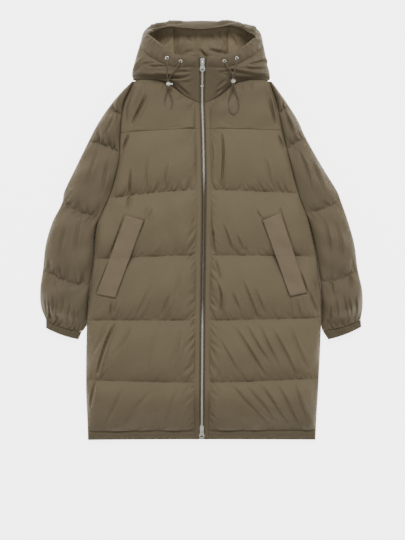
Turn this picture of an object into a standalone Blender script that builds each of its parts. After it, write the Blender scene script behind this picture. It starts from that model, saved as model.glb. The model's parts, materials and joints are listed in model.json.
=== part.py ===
"""Hooded puffer coat laid flat on its back, front up, zipped, with its sleeves at its sides.

+X is the wearer's left, +Y runs up to the hood and +Z up from the surface under the back. Every
cloth piece is a closed wall lofted between an outer and an inner skin, and neighbours share the
points of their seams, moved GAP apart.
"""

import math
from collections import namedtuple

import bmesh
import bpy
import numpy as np
from mathutils import Matrix, Vector
from mathutils.bvhtree import BVHTree

SIDES = {"right": -1, "left": 1}
GAP = 0.0003

# Heights of the two layers, measured up and down from the height where they meet.
MID = 0.030
SEAM = 0.010
CROWN = 0.029
BACK_CROWN = 0.036
EDGE = 0.0022
SEAM_WALL = 0.004
LAYER_GAP = 0.0004
EDGE_ROUND = 0.045

# The hem lies lower than the body, because its layers are thin.
HEM_MID = 0.008
HEM_DROP_FROM, HEM_DROP_TO = -0.425, -0.536
HEM_LAYER = 0.005

# Zip: half widths from its centre line, and heights under the top of the front strips.
STRIP_EDGE = 0.0075
STRIP_WIDTH = 0.012
STRIP_WALL = 0.003
TAPE_IN, TAPE_OUT = 0.0040, 0.0180
TAPE_WALL = 0.001
TAPE_TOP_Y, TAPE_END_Y = 0.4715, -0.5745
TAPE_CLEAR, HOOD_TAPE_CLEAR = 0.0005, 0.0021
CHAIN_HALF = 0.0037
CHAIN_TOP_Y = 0.4610
CHAIN_TOP, CHAIN_BOTTOM = -0.0022, -0.0050
STRIP_LIFT, HEM_STRIP_LIFT = 0.0123, 0.0066

# Half outline of the body below the hood, on each side of the wearer.
Edge = namedtuple("Edge", "y right left")
BODY_EDGE = (
    Edge(0.410, -0.186, 0.187),
    Edge(0.380, -0.200, 0.198),
    Edge(0.351, -0.213, 0.208),
    Edge(0.309, -0.221, 0.216),
    Edge(0.265, -0.224, 0.225),
    Edge(0.188, -0.228, 0.244),
    Edge(0.094, -0.253, 0.269),
    Edge(0.050, -0.273, 0.286),
    Edge(0.007, -0.290, 0.300),
    Edge(-0.079, -0.297, 0.318),
    Edge(-0.191, -0.311, 0.330),
    Edge(-0.283, -0.317, 0.329),
    Edge(-0.439, -0.3185, 0.322),
    Edge(-0.580, -0.315, 0.316),
)

# The zip's centre line sways a little.
Sway = namedtuple("Sway", "y x")
ZIP_LINE = (
    Sway(0.473, 0.0028), Sway(0.351, 0.0020), Sway(0.254, 0.0047), Sway(0.103, 0.0066),
    Sway(-0.219, 0.0028), Sway(-0.549, 0.0008), Sway(-0.580, 0.0004),
)

# Quilting seams, down the body: height at the zip and at each side.
Seam = namedtuple("Seam", "name zip right left")
SEAMS = (
    Seam("yoke", 0.280, 0.268, 0.275),
    Seam("chest", 0.112, 0.089, 0.102),
    Seam("waist", -0.068, -0.079, -0.071),
    Seam("hip", -0.247, -0.247, -0.240),
    Seam("thigh", -0.418, -0.411, -0.406),
    Seam("hem_stitch", -0.554, -0.556, -0.552),
    Seam("hem", -0.5775, -0.5794, -0.5785),
)
# Where the rows of points lie in each baffle, from its upper seam down.
BAFFLE_ROWS = (
    (0.0, 0.10, 0.30, 0.50, 0.72, 0.90),
    (0.0, 0.10, 0.30, 0.50, 0.72, 0.90),
    (0.0, 0.10, 0.30, 0.60, 0.80, 0.93),
    (0.0, 0.10, 0.30, 0.55, 0.80, 0.93),
    (0.0, 0.10, 0.30, 0.55, 0.80, 0.93),
    (0.0,),
    (0.0,),
)
YOKE_ROWS = (1.0, 0.80, 0.60, 0.35, 0.18, 0.0)
YOKE_ACROSS = (0.0, 0.28, 0.5, 1.0, 1.5, 2.0, 2.5, 3.0, 3.5, 4.0, 5.0)
YOKE_PARTS = (0.0, 0.055, 0.12, 0.24, 0.36, 0.47, 0.59, 0.70, 0.82, 0.92, 1.0)
UNDERARM_BAFFLE, UNDERARM_ROW = 1, 3
SHOULDER_Y = 0.410
BACK_NECK_Y = 0.4005

# Pocket welts, by their four corners, and the front rows that carry their ends.
Welt = namedtuple("Welt", "top_in top_out bottom_in bottom_out")
WELTS = {
    "right": Welt((-0.158, 0.026), (-0.208, 0.042), (-0.236, -0.185), (-0.288, -0.174)),
    "left": Welt((0.167, 0.027), (0.217, 0.048), (0.242, -0.181), (0.289, -0.171)),
}
WELT_TOP_ROW, WELT_BOTTOM_ROW = 8, 15
WELT_WALL = 0.004
# The front's columns that the welt's long edges follow, and where they lie away from it.
WELT_COLUMNS = (4, 5)
WELT_FREE_PARTS = (0.58, 0.80)
NARROW_COLUMNS = 0.030

# Sleeve sections at the quilting seams: the outer end of each ring, and how far it sags.
Ring = namedtuple("Ring", "name right left sag")
SLEEVE_RINGS = (
    Ring("shoulder", (-0.193, 0.4095), (0.194, 0.4095), 0.0),
    Ring("cap", (-0.257, 0.338), (0.240, 0.345), 0.0),
    Ring("upper_arm", (-0.311, 0.247), (0.288, 0.255), -0.003),
    Ring("elbow", (-0.384, 0.078), (0.383, 0.086), 0.008),
    Ring("forearm", (-0.437, -0.105), (0.431, -0.107), 0.011),
    Ring("cuff", (-0.431, -0.246), (0.441, -0.245), 0.006),
)
# The sleeve's outer line between those rings, by its share of the way down.
Bulge = namedtuple("Bulge", "at right left")
SLEEVE_BULGES = (
    Bulge(0.5, (-0.226, 0.376), (0.217, 0.378)),
    Bulge(1.5, (-0.287, 0.293), (0.266, 0.303)),
    Bulge(2.4, (-0.344, 0.180), (0.328, 0.184)),
    Bulge(2.85, (-0.379, 0.106), (0.375, 0.107)),
    Bulge(3.35, (-0.411, 0.024), (0.404, 0.026)),
    Bulge(3.7, (-0.430, -0.040), (0.422, -0.040)),
    Bulge(4.35, (-0.4452, -0.160), (0.4430, -0.160)),
    Bulge(4.75, (-0.4440, -0.211), (0.4462, -0.209)),
)
FREE_RINGS = (3.36, 3.56, 3.78, 3.93, 4.0, 4.08, 4.28, 4.52, 4.78, 4.94, 5.0)
SLEEVE_ACROSS = (0.0, 0.06, 0.22, 0.50, 0.78, 0.94, 1.0)
CUFF_INNER_END = {"right": (-0.331, -0.278), "left": (0.334, -0.275)}
SLEEVE_CLEAR = 0.0015
SLEEVE_WALL = 0.009
SLEEVE_END_MID = 0.010
SLEEVE_END_CROWN = 0.0085

CUFF_HEIGHT = 0.0075
CUFF_WALL = 0.0058
CUFF_MID = 0.0085
CUFF_ENDS = {
    "right": ((-0.341, -0.301), (-0.431, -0.269)),
    "left": ((0.351, -0.301), (0.443, -0.266)),
}

# The hood, by lines that run from its face opening back to the neck. Each line has its point on
# the rim, on the casing's seam, twice on the panel and on the neck seam.
HoodLine = namedtuple("HoodLine", "name rim seam upper lower neck")
HOOD = {
    "right": (
        HoodLine("zip", (-.0095, .4725, .0840), (-.0060, .446, .0745), (-.0052, .419, .0640),
                 (-.0054, .385, .0520), (-.0055, .351, .0423)),
        HoodLine("chin", (-.058, .476, .082), (-.059, .445, .072), (-.057, .424, .064),
                 (-.053, .399, .053), (-.046, .371, .041)),
        HoodLine("cheek", (-.085, .487, .078), (-.094, .451, .069), (-.093, .434, .065),
                 (-.091, .419, .056), (-.087, .401, .040)),
        HoodLine("jaw", (-.117, .513, .072), (-.137, .474, .060), (-.136, .450, .062),
                 (-.133, .428, .056), (-.130, .415, .040)),
        HoodLine("temple", (-.138, .530, .066), (-.163, .498, .048), (-.171, .468, .051),
                 (-.176, .436, .052), (-.170, .415, .040)),
        HoodLine("edge", (-.1455, .536, .060), (-.166, .522, .038), (-.181, .476, .028),
                 (-.192, .436, .028), (-.189, .4145, .029)),
        HoodLine("under", (-.128, .546, .055), (-.151, .557, .030), (-.165, .500, .008),
                 (-.172, .440, .006), (-.165, .412, .014)),
        HoodLine("strip", (-.088, .558, .049), (-.084, .5765, .028), (-.084, .535, .000),
                 (-.084, .460, .000), (-.084, .404, .003)),
    ),
    "left": (
        HoodLine("zip", (.0150, .4725, .0840), (.0115, .446, .0745), (.0100, .419, .0640),
                 (.0096, .385, .0520), (.0095, .351, .0423)),
        HoodLine("chin", (.062, .478, .082), (.060, .444, .072), (.058, .424, .064),
                 (.055, .399, .053), (.050, .371, .041)),
        HoodLine("cheek", (.092, .486, .078), (.097, .453, .069), (.096, .434, .065),
                 (.094, .421, .056), (.092, .404, .040)),
        HoodLine("jaw", (.122, .507, .072), (.137, .476, .060), (.136, .450, .062),
                 (.133, .428, .056), (.130, .415, .040)),
        HoodLine("temple", (.142, .523, .066), (.162, .498, .048), (.169, .468, .051),
                 (.173, .436, .052), (.169, .415, .040)),
        HoodLine("edge", (.149, .530, .060), (.168, .520, .038), (.178, .476, .028),
                 (.187, .436, .028), (.187, .4145, .029)),
        HoodLine("under", (.130, .543, .055), (.153, .556, .030), (.163, .500, .008),
                 (.170, .440, .006), (.165, .412, .014)),
        HoodLine("strip", (.084, .562, .049), (.082, .5765, .028), (.080, .535, .000),
                 (.080, .460, .000), (.080, .404, .003)),
    ),
}
HOOD_CENTRE = HoodLine("centre", (.005, .553, .046), (.000, .5795, .028), (.000, .536, .000),
                       (.000, .460, .000), (.000, .402, .003))
HOOD_STEPS = 2
HOOD_DOWN = (0.0, 0.12, 0.30, 0.50, 0.70, 0.88, 1.0)
HOOD_WALL, HOOD_PAD = 0.004, 0.007
CASING_WALL = 0.0030
CASING_BULGE = 0.002
LINING_WALL = 0.001
LINING_CLEAR = 0.0005
LEAST_SQUARE = 0.3
LINING_FROM = 4

# Metal pieces.
EYELET_HOLE, EYELET_OUT, EYELET_RISE = 0.0024, 0.0052, 0.0012
EYELET_TUBE = 0.0030
EYELET_CREST, EYELET_ROUND, EYELET_DEPTH = 0.0036, 0.0004, 0.0042
EYELET_SEGMENTS = 16
EYELETS = {
    "right": {"inner": (-0.0572, 0.4600), "outer": (-0.0940, 0.4700)},
    "left": {"inner": (0.0622, 0.4610), "outer": (0.0962, 0.4690)},
}
CORD_RADIUS = 0.0016
LOCK_RADIUS = 0.0065
LOCK_SEGMENTS = (20, 12)
LOCKS = {"right": (-0.0902, 0.4000, 0.0640), "left": (0.0864, 0.4070, 0.0700)}
LOCK_SLOT = (0.0040, 0.0022)
LOCK_SLOT_OFF = 0.0013
BUTTON_RADIUS, BORE_RADIUS = 0.0028, 0.0031
BUTTON_FROM, BUTTON_TO = 0.0056, 0.0108
BORE_FLOOR = 0.0031
STRAND_OFF = 0.0018
STRAND_AHEAD = 0.0090
CORD_MOUTH = (-0.0030, 0.0005, 0.0035)

# Cord routes, each from its outer eyelet through the lock, round its loop and back.
Route = namedtuple("Route", "down loop up")
ROUTES = {
    "right": Route(
        down=((-0.0938, 0.4570, 0.0795), (-0.0936, 0.4380, 0.0760), (-0.0934, 0.4200, 0.0700)),
        loop=((-0.0955, 0.3780, 0.0600), (-0.1005, 0.3560, 0.0570), (-0.0985, 0.3370, 0.0560),
              (-0.0900, 0.3300, 0.0560), (-0.0815, 0.3380, 0.0570), (-0.0805, 0.3570, 0.0580),
              (-0.0865, 0.3790, 0.0600)),
        up=((-0.0850, 0.4200, 0.0705), (-0.0745, 0.4360, 0.0775), (-0.0630, 0.4500, 0.0825)),
    ),
    "left": Route(
        down=((0.0945, 0.4560, 0.0795), (0.0915, 0.4400, 0.0775), (0.0890, 0.4270, 0.0740)),
        loop=((0.0930, 0.3840, 0.0640), (0.1010, 0.3580, 0.0590), (0.1000, 0.3290, 0.0560),
              (0.0880, 0.3180, 0.0560), (0.0765, 0.3270, 0.0570), (0.0745, 0.3550, 0.0580),
              (0.0800, 0.3830, 0.0640)),
        up=((0.0830, 0.4270, 0.0740), (0.0765, 0.4380, 0.0785), (0.0675, 0.4510, 0.0830)),
    ),
}
CORD_STEP = 0.0070

# Sliders and pull tabs. Each slider is set by the height of its pull's pivot along the zip.
Slider = namedtuple("Slider", "name pivot_y tilt_span tab_length")
SLIDERS = (
    Slider("top", 0.4560, (0.446, 0.472), 0.0240),
    Slider("bottom", -0.5520, (-0.575, -0.545), 0.0225),
)
SLIDER_HALF = 0.0056
SLIDER_UP, SLIDER_DOWN = 0.0120, 0.0030
SLIDER_CHANNEL = 0.0041
SLIDER_PLATE = 0.0013
SLIDER_OVER_CHAIN = 0.0004
SLIDER_FOOT = CHAIN_BOTTOM - CHAIN_TOP + 0.0019
SLIDER_BEVEL = 0.0006
# How far a cutter runs past what it cuts.
PAST = 0.010
BAIL_REACH, BAIL_RISE, BAIL_RADIUS = 0.0048, 0.0026, 0.0009
BAIL_STEPS, BAIL_ROOT = 8, 0.0018
TAB_WALL = 0.0014
TAB_CLEAR = 0.0009
TAB_NECK, TAB_HALF = 0.0048, 0.0076
TAB_EYE, TAB_BAR = 0.0015, 0.0011
TAB_HOLE = (0.0044, 0.0025)
TAB_HOLE_UP = 0.0062
TAB_SHOULDER, TAB_EYE_PLAY = 0.0060, 0.0008
TAB_END_POINTS, TAB_END_SQUASH = 7, 0.92

COLOURS = {
    "shell": (0.170, 0.130, 0.085),
    "lining": (0.135, 0.103, 0.066),
    "zip_tape": (0.075, 0.066, 0.045),
    "cord": (0.130, 0.100, 0.065),
    "metal": (0.700, 0.690, 0.660),
}


def smoothstep(low, high, value):
    """Share of the way from low to high, eased at both ends."""
    share = min(max((value - low) / (high - low), 0.0), 1.0)
    return share * share * (3.0 - 2.0 * share)


def along(knots, values, at):
    """A smooth curve through values at rising knots (points or numbers), read at one place."""
    knots = np.asarray(knots, float)
    values = np.asarray(values, float)
    at = min(max(at, knots[0]), knots[-1])
    last = len(knots) - 1
    cell = min(int(np.searchsorted(knots, at, side="right")) - 1, last - 1)

    def slope(k):
        before, after = max(k - 1, 0), min(k + 1, last)
        return (values[after] - values[before]) / (knots[after] - knots[before])

    width = knots[cell + 1] - knots[cell]
    t = (at - knots[cell]) / width
    return (
        (2 * t**3 - 3 * t**2 + 1) * values[cell]
        + (t**3 - 2 * t**2 + t) * width * slope(cell)
        + (3 * t**2 - 2 * t**3) * values[cell + 1]
        + (t**3 - t**2) * width * slope(cell + 1)
    )


def rounded(distance, radius):
    """Height share of a quarter ellipse this far in from its edge."""
    inside = 1.0 - min(max(distance / radius, 0.0), 1.0)
    return math.sqrt(1.0 - inside * inside)


def puff(share):
    """How far a baffle swells between its seams: most a little below its middle."""
    return math.sin(math.pi * min(max(share, 0.0), 1.0) ** 1.12) ** 0.6


def zip_x(y):
    """The zip's centre line at this height."""
    return float(along([-row.y for row in ZIP_LINE], [row.x for row in ZIP_LINE], -y))


def edge_x(side, y):
    """The body's side at this height."""
    return float(along([-row.y for row in BODY_EDGE], [getattr(row, side) for row in BODY_EDGE], -y))


def mid_height(y):
    """Where the front and back layers meet: lower at the hem."""
    return MID + (HEM_MID - MID) * smoothstep(-HEM_DROP_FROM, -HEM_DROP_TO, -y)


def zip_top(y):
    """Height of the front strips beside the zip, over the body and up the hood."""
    lift = STRIP_LIFT + (HEM_STRIP_LIFT - STRIP_LIFT) * smoothstep(-HEM_DROP_FROM, -HEM_DROP_TO, -y)
    if y <= HOOD["left"][0].neck[1]:
        return mid_height(y) + lift
    rise = [hood_point(HOOD["left"], 0.0, down) for down in reversed(HOOD_DOWN)]
    rise.append(HOOD["left"][0].rim)
    return float(np.interp(y, [point[1] for point in rise], [point[2] for point in rise]))


class Baffles:
    """Rows of points down one side of the body, with what each row is."""

    Row = namedtuple("Row", "zip side share baffle")

    def __init__(self, side):
        self.rows = []
        for number, shares in enumerate(BAFFLE_ROWS):
            upper = SEAMS[number]
            lower = SEAMS[min(number + 1, len(SEAMS) - 1)]
            for share in shares:
                self.rows.append(self.Row(
                    upper.zip + (lower.zip - upper.zip) * share,
                    getattr(upper, side) + (getattr(lower, side) - getattr(upper, side)) * share,
                    share, number,
                ))

    def underarm(self):
        """Index of the row where the armhole ends."""
        first = sum(len(shares) for shares in BAFFLE_ROWS[:UNDERARM_BAFFLE])
        return first + UNDERARM_ROW


def yoke_side_y(side, share):
    """Height of a yoke row at the armhole."""
    seam = getattr(SEAMS[0], side)
    return seam + (SHOULDER_Y - seam) * share


def armhole(side):
    """Heights of the armhole's points, from the shoulder down to the underarm."""
    baffles = Baffles(side)
    below = [row.side for row in baffles.rows[1:baffles.underarm() + 1]]
    return [yoke_side_y(side, share) for share in YOKE_ROWS] + below


def edge_lift(side, y):
    """How far the layer stands off at the body's side: sewn to the sleeve above the underarm."""
    return SEAM if y > armhole(side)[-1] + 0.001 else EDGE


def layer(swell, side_share, edge, edge_wall, crown, low):
    """Outer and inner offset of a layer from the mid height.

    swell is 0 at a quilting seam and 1 on a crown, and side_share is 0 at the side and 1 inside.
    """
    full = low + (crown - low) * swell
    outer = edge + (full - edge) * side_share
    open_seam = (low - SEAM_WALL - LAYER_GAP) * (1.0 - swell)
    inner_full = LAYER_GAP + max(open_seam, 0.0)
    inner_edge = edge - edge_wall
    return outer, inner_edge + (inner_full - inner_edge) * min(side_share * 1.5, 1.0)


def grid(rows):
    """Rows of points as one array."""
    return np.array(rows, float)


class Skin:
    """One face of a wall: numbered points and the triangles of a grid of them."""

    def __init__(self):
        self.points = []
        self.index = {}

    def add(self, point):
        key = tuple(np.round(np.asarray(point) / 2e-6).astype(int))
        if key not in self.index:
            self.index[key] = len(self.points)
            self.points.append(tuple(float(value) for value in point))
        return self.index[key]


def wall(name, outer, inner, slot):
    """A closed solid between two grids of points, with a rim along every open edge of theirs."""
    skin_out, skin_in = Skin(), Skin()
    pair = {}
    rows, columns = outer.shape[:2]
    numbers = np.zeros((rows, columns), int)
    for r in range(rows):
        for c in range(columns):
            numbers[r, c] = skin_out.add(outer[r, c])
            pair[numbers[r, c]] = skin_in.add(inner[r, c])
    faces = []
    for r in range(rows - 1):
        for c in range(columns - 1):
            a, b = numbers[r, c], numbers[r, c + 1]
            d, e = numbers[r + 1, c], numbers[r + 1, c + 1]
            faces += [(a, b, e), (a, e, d)]
    faces = [face for face in faces if len(set(face)) == 3]
    ends = {}
    for face in faces:
        for k in range(3):
            ends[(face[k], face[(k + 1) % 3])] = True
    shift = len(skin_out.points)
    solid = list(faces)
    for a, b, c in faces:
        inside = (pair[c] + shift, pair[b] + shift, pair[a] + shift)
        if len(set(inside)) == 3:
            solid.append(inside)
    for a, b in ends:
        if (b, a) not in ends:
            solid.append((b, a, pair[a] + shift))
            if pair[a] != pair[b]:
                solid.append((b, pair[a] + shift, pair[b] + shift))
    return mesh_object(name, skin_out.points + skin_in.points, solid, slot)


def mesh_object(name, points, faces, slot):
    """A mesh object whose faces point out."""
    mesh = bpy.data.meshes.new(name)
    mesh.from_pydata([tuple(point) for point in points], [], [tuple(map(int, f)) for f in faces])
    shape = bmesh.new()
    shape.from_mesh(mesh)
    if shape.calc_volume(signed=True) < 0:
        bmesh.ops.reverse_faces(shape, faces=shape.faces)
    shape.to_mesh(mesh)
    shape.free()
    return placed(name, mesh, slot)


def placed(name, mesh, slot):
    """An object of this mesh in the coat's collection, in its material."""
    thing = bpy.data.objects.new(name, mesh)
    COAT.objects.link(thing)
    thing.data.materials.clear()
    thing.data.materials.append(material(slot))
    return thing


def material(slot):
    """The material of this slot, made once."""
    found = bpy.data.materials.get(slot)
    if found:
        return found
    made = bpy.data.materials.new(slot)
    made.use_nodes = True
    shader = made.node_tree.nodes["Principled BSDF"]
    metal = slot == "metal"
    shader.inputs["Base Color"].default_value = (*COLOURS[slot], 1.0)
    shader.inputs["Roughness"].default_value = 0.3 if metal else 0.75
    shader.inputs["Metallic"].default_value = 1.0 if metal else 0.0
    made.diffuse_color = (*COLOURS[slot], 1.0)
    return made


# Body panels


def front_columns(side, zip_y, side_y):
    """Plan positions across a front row, from the strip's edge to the side seam."""
    sign = SIDES[side]
    start = zip_x(zip_y) + sign * STRIP_EDGE
    end = edge_x(side, side_y) - sign * GAP / 2
    span = end - start
    inset = sign * 0.014
    return [
        start, start + sign * STRIP_WIDTH, start + sign * 0.040, start + span * 0.36,
        start + span * 0.58, start + span * 0.80, end - inset, end,
    ]


def front_height(side, x, y, swell, edge):
    """Outer and inner height of the front layer at a plan position."""
    sign = SIDES[side]
    from_zip = abs(x - zip_x(y)) - STRIP_EDGE
    from_side = abs(edge_x(side, y) - sign * GAP / 2 - x)
    mid = mid_height(y)
    if from_zip < STRIP_WIDTH + 0.0005:
        return zip_top(y), zip_top(y) - STRIP_WALL
    swell = swell * rounded(from_zip - STRIP_WIDTH, 0.05)
    low = SEAM + 0.001
    wall_at_edge = SEAM_WALL if edge > EDGE else EDGE - GAP / 2
    outer, inner = layer(swell, rounded(from_side, EDGE_ROUND), edge, wall_at_edge, CROWN, low)
    return mid + outer, mid + inner


def front_grids(side):
    """Outer and inner points of a front below its yoke."""
    sign = SIDES[side]
    outer, inner = [], []
    baffles = Baffles(side)
    plans = []
    for row in baffles.rows:
        xs = front_columns(side, row.zip, row.side)
        ys = [row.zip + (row.side - row.zip) * abs((x - xs[0]) / (xs[-1] - xs[0])) ** 1.5 for x in xs]
        plans.append([list(spot) for spot in zip(xs, ys)])
    bend_to_welt(side, plans)
    for number, (row, plan) in enumerate(zip(baffles.rows, plans)):
        row_out, row_in = [], []
        for column, (x, y) in enumerate(plan):
            share = baffle_share(side, x, y, row)
            hem = row.baffle >= len(SEAMS) - 2
            edge = edge_lift(side, row.side)
            if hem and column > 1:
                top, bottom = mid_height(y) + HEM_LAYER, mid_height(y) + LAYER_GAP
                if column == len(plan) - 1:
                    top, bottom = mid_height(y) + EDGE, mid_height(y) + GAP / 2
            else:
                swell = 0.0 if row.share == 0.0 else puff(share)
                top, bottom = front_height(side, x, y, swell, edge)
                if column == len(plan) - 1:
                    top = mid_height(y) + edge
                    bottom = mid_height(y) + (edge - SEAM_WALL if edge > EDGE else GAP / 2)
            drop = GAP / 2 if number == 0 else 0.0
            row_out.append((x, y - drop, top))
            row_in.append((x, y - drop, bottom))
        outer.append(row_out)
        inner.append(row_in)
    return grid(outer), grid(inner)


def baffle_share(side, x, y, row):
    """How far down its baffle a plan position lies."""
    if row.share == 0.0:
        return 0.0
    upper, lower = SEAMS[row.baffle], SEAMS[row.baffle + 1]
    across = abs(x - zip_x(y)) / abs(edge_x(side, y) - zip_x(y))
    bend = min(across, 1.0) ** 1.5
    top = upper.zip + (getattr(upper, side) - upper.zip) * bend
    bottom = lower.zip + (getattr(lower, side) - lower.zip) * bend
    return min(max((top - y) / (top - bottom), 0.0), 1.0)


def bend_to_welt(side, plans):
    """Move the front's points so that two rows and two columns follow the pocket welt."""
    welt = WELTS[side]
    edges = (
        (WELT_COLUMNS[0], welt.top_in, welt.bottom_in),
        (WELT_COLUMNS[1], welt.top_out, welt.bottom_out),
    )
    for number in range(WELT_TOP_ROW, WELT_BOTTOM_ROW + 1):
        for column, top, bottom in edges:
            spot = plans[number][column]
            if number == WELT_TOP_ROW:
                spot[1] = top[1]
            if number == WELT_BOTTOM_ROW:
                spot[1] = bottom[1]
            share = (top[1] - spot[1]) / (top[1] - bottom[1])
            spot[0] = top[0] + (bottom[0] - top[0]) * share
    for number, plan in enumerate(plans):
        if WELT_TOP_ROW <= number <= WELT_BOTTOM_ROW:
            continue
        above = number < WELT_TOP_ROW
        anchor = plans[WELT_TOP_ROW if above else WELT_BOTTOM_ROW]
        if above:
            share = number / WELT_TOP_ROW
        else:
            share = (len(plans) - 1 - number) / (len(plans) - 1 - WELT_BOTTOM_ROW)
        for column, default in zip(WELT_COLUMNS, WELT_FREE_PARTS):
            anchored = (anchor[column][0] - anchor[0][0]) / (anchor[-1][0] - anchor[0][0])
            part = default + (anchored - default) * share
            plan[column][0] = plan[0][0] + (plan[-1][0] - plan[0][0]) * part
    for plan in plans[WELT_TOP_ROW:]:
        if abs(plan[-1][0] - plan[-3][0]) < NARROW_COLUMNS:
            plan[-2][0] = (plan[-3][0] + plan[-1][0]) / 2


def make_fronts():
    """Both fronts, with their turned hems and zip strips, and the welts that lie on them."""
    for side in SIDES:
        outer, inner = front_grids(side)
        wall(f"front_{side}", outer, inner, "shell")
        patch = outer[WELT_TOP_ROW:WELT_BOTTOM_ROW + 1, WELT_COLUMNS[0]:WELT_COLUMNS[1] + 1]
        low, high = patch.copy(), patch.copy()
        low[..., 2] += GAP
        high[..., 2] += GAP + WELT_WALL
        wall(f"welt_{side}", high, low, "shell")


def neck_spot(side, across):
    """A point of the front neck seam, by hood lines passed from the zip, or the shoulder tip."""
    if across == YOKE_ACROSS[-1]:
        return np.array((edge_x(side, SHOULDER_Y) - SIDES[side] * GAP / 2, SHOULDER_Y - GAP))
    spot = hood_point(HOOD[side], across, 1.0)[:2]
    return spot - np.array((0.0, GAP * 1.5))


def make_yokes():
    """The plain yokes, from the yoke seam up to the neck seam."""
    for side, sign in SIDES.items():
        start = zip_x(SEAMS[0].zip) + sign * STRIP_EDGE
        end = edge_x(side, getattr(SEAMS[0], side)) - sign * GAP / 2
        outer, inner = [], []
        for share in reversed(YOKE_ROWS):
            row_out, row_in = [], []
            true_side = edge_x(side, yoke_side_y(side, share)) - sign * GAP / 2
            lean_side = true_side - (end + (neck_spot(side, YOKE_ACROSS[-1])[0] - end) * share)
            top_y = neck_spot(side, 0.0)[1]
            true_zip = zip_x(SEAMS[0].zip + (top_y - SEAMS[0].zip) * share) + sign * STRIP_EDGE
            lean_zip = true_zip - (start + (neck_spot(side, 0.0)[0] - start) * share)
            for column, (across, part) in enumerate(zip(YOKE_ACROSS, YOKE_PARTS)):
                seam_y = SEAMS[0].zip + (getattr(SEAMS[0], side) - SEAMS[0].zip) * part ** 1.5
                low_spot = np.array((start + (end - start) * part, seam_y + GAP / 2))
                x, y = low_spot + (neck_spot(side, across) - low_spot) * share
                if share < 1.0:
                    x += lean_side * part ** 2 + lean_zip * (1.0 - part) ** 2
                if column == 1:
                    x = row_out[0][0] + sign * STRIP_WIDTH
                if column < 2:
                    top = zip_top(min(y, top_y))
                    bottom = top - STRIP_WALL
                else:
                    swell = puff(share) * 0.75 * rounded(abs(x - zip_x(y)) - 0.0195, 0.05)
                    from_side = rounded(abs(true_side - x), EDGE_ROUND)
                    off = layer(swell, from_side, SEAM, SEAM_WALL, CROWN, SEAM + 0.001)
                    top, bottom = MID + off[0], MID + off[1]
                row_out.append((x, y, top))
                row_in.append((x, y, bottom))
            outer.append(row_out)
            inner.append(row_in)
        wall(f"yoke_{side}", grid(outer), grid(inner), "shell")


def back_row(ys, share, kind, x_ends):
    """One row across the back, from the wearer's right side to the left, with its heights."""
    parts = (0.0, 0.035, 0.11, 0.22, 0.35, 0.5)
    mirrored = [1.0 - part for part in reversed(parts[:-1])]
    row_out, row_in = [], []
    for part in (*parts, *mirrored):
        side = "right" if part <= 0.5 else "left"
        x = x_ends[0] + (x_ends[1] - x_ends[0]) * part
        bend = abs(2 * part - 1) ** 1.5
        y = ys["centre"] + (ys[side] - ys["centre"]) * bend
        mid = mid_height(y)
        from_side = min(abs(x - x_ends[0]), abs(x - x_ends[1]))
        at_side = part in (0.0, 1.0)
        edge = edge_lift(side, ys[side])
        if kind == "hem":
            outer, inner = (EDGE, GAP / 2) if at_side else (mid, LAYER_GAP)
        elif kind == "top":
            reach = SEAM + (MID - 0.003 - SEAM) * rounded(from_side, 0.10)
            outer, inner = reach, reach - SEAM_WALL
        else:
            swell = 0.0 if kind == "seam" else puff(share)
            wall_at_edge = SEAM_WALL if edge > EDGE else EDGE - GAP / 2
            low = SEAM + 0.010
            outer, inner = layer(swell, rounded(from_side, EDGE_ROUND), edge, wall_at_edge,
                                 BACK_CROWN, low)
            if kind == "yoke":
                outer = max(outer, SEAM + (MID - 0.002 - SEAM) * rounded(from_side, 0.10))
            inner = min(inner, outer - min(SEAM_WALL, outer * 0.8))
        outer = min(outer, mid)
        inner = min(inner, outer - 0.0015)
        row_out.append((x, y, mid - outer))
        row_in.append((x, y, mid - inner))
    return row_out, row_in


def make_back():
    """The back, from the hood's neck seam down to the hem, flat where it rests."""
    outer, inner = [], []
    levels = []
    for share in YOKE_ROWS[:-1]:
        ys = {side: yoke_side_y(side, share) for side in SIDES}
        ys["centre"] = SEAMS[0].zip + (BACK_NECK_Y - SEAMS[0].zip) * share
        levels.append((ys, share, "top" if share == 1.0 else "yoke"))
    rows = {side: Baffles(side).rows for side in SIDES}
    for number, row in enumerate(rows["right"]):
        ys = {side: rows[side][number].side for side in SIDES}
        ys["centre"] = row.zip
        kind = "hem" if row.baffle >= len(SEAMS) - 2 else "seam" if row.share == 0.0 else "baffle"
        levels.append((ys, row.share, kind))
    for ys, share, kind in levels:
        ends = [
            edge_x("right", ys["right"]) + GAP / 2,
            edge_x("left", ys["left"]) - GAP / 2,
        ]
        row_out, row_in = back_row(ys, share, kind, ends)
        outer.append(row_out)
        inner.append(row_in)
    wall("back", grid(outer), grid(inner), "shell")


# Sleeves


def sleeve_outer(side, at):
    """The sleeve's outer line, by seams passed from the shoulder (0) to the cuff (5)."""
    knots = [(float(number), getattr(ring, side)) for number, ring in enumerate(SLEEVE_RINGS)]
    knots += [(bulge.at, getattr(bulge, side)) for bulge in SLEEVE_BULGES]
    knots.sort()
    return along([knot[0] for knot in knots], [knot[1] for knot in knots], at)


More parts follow.
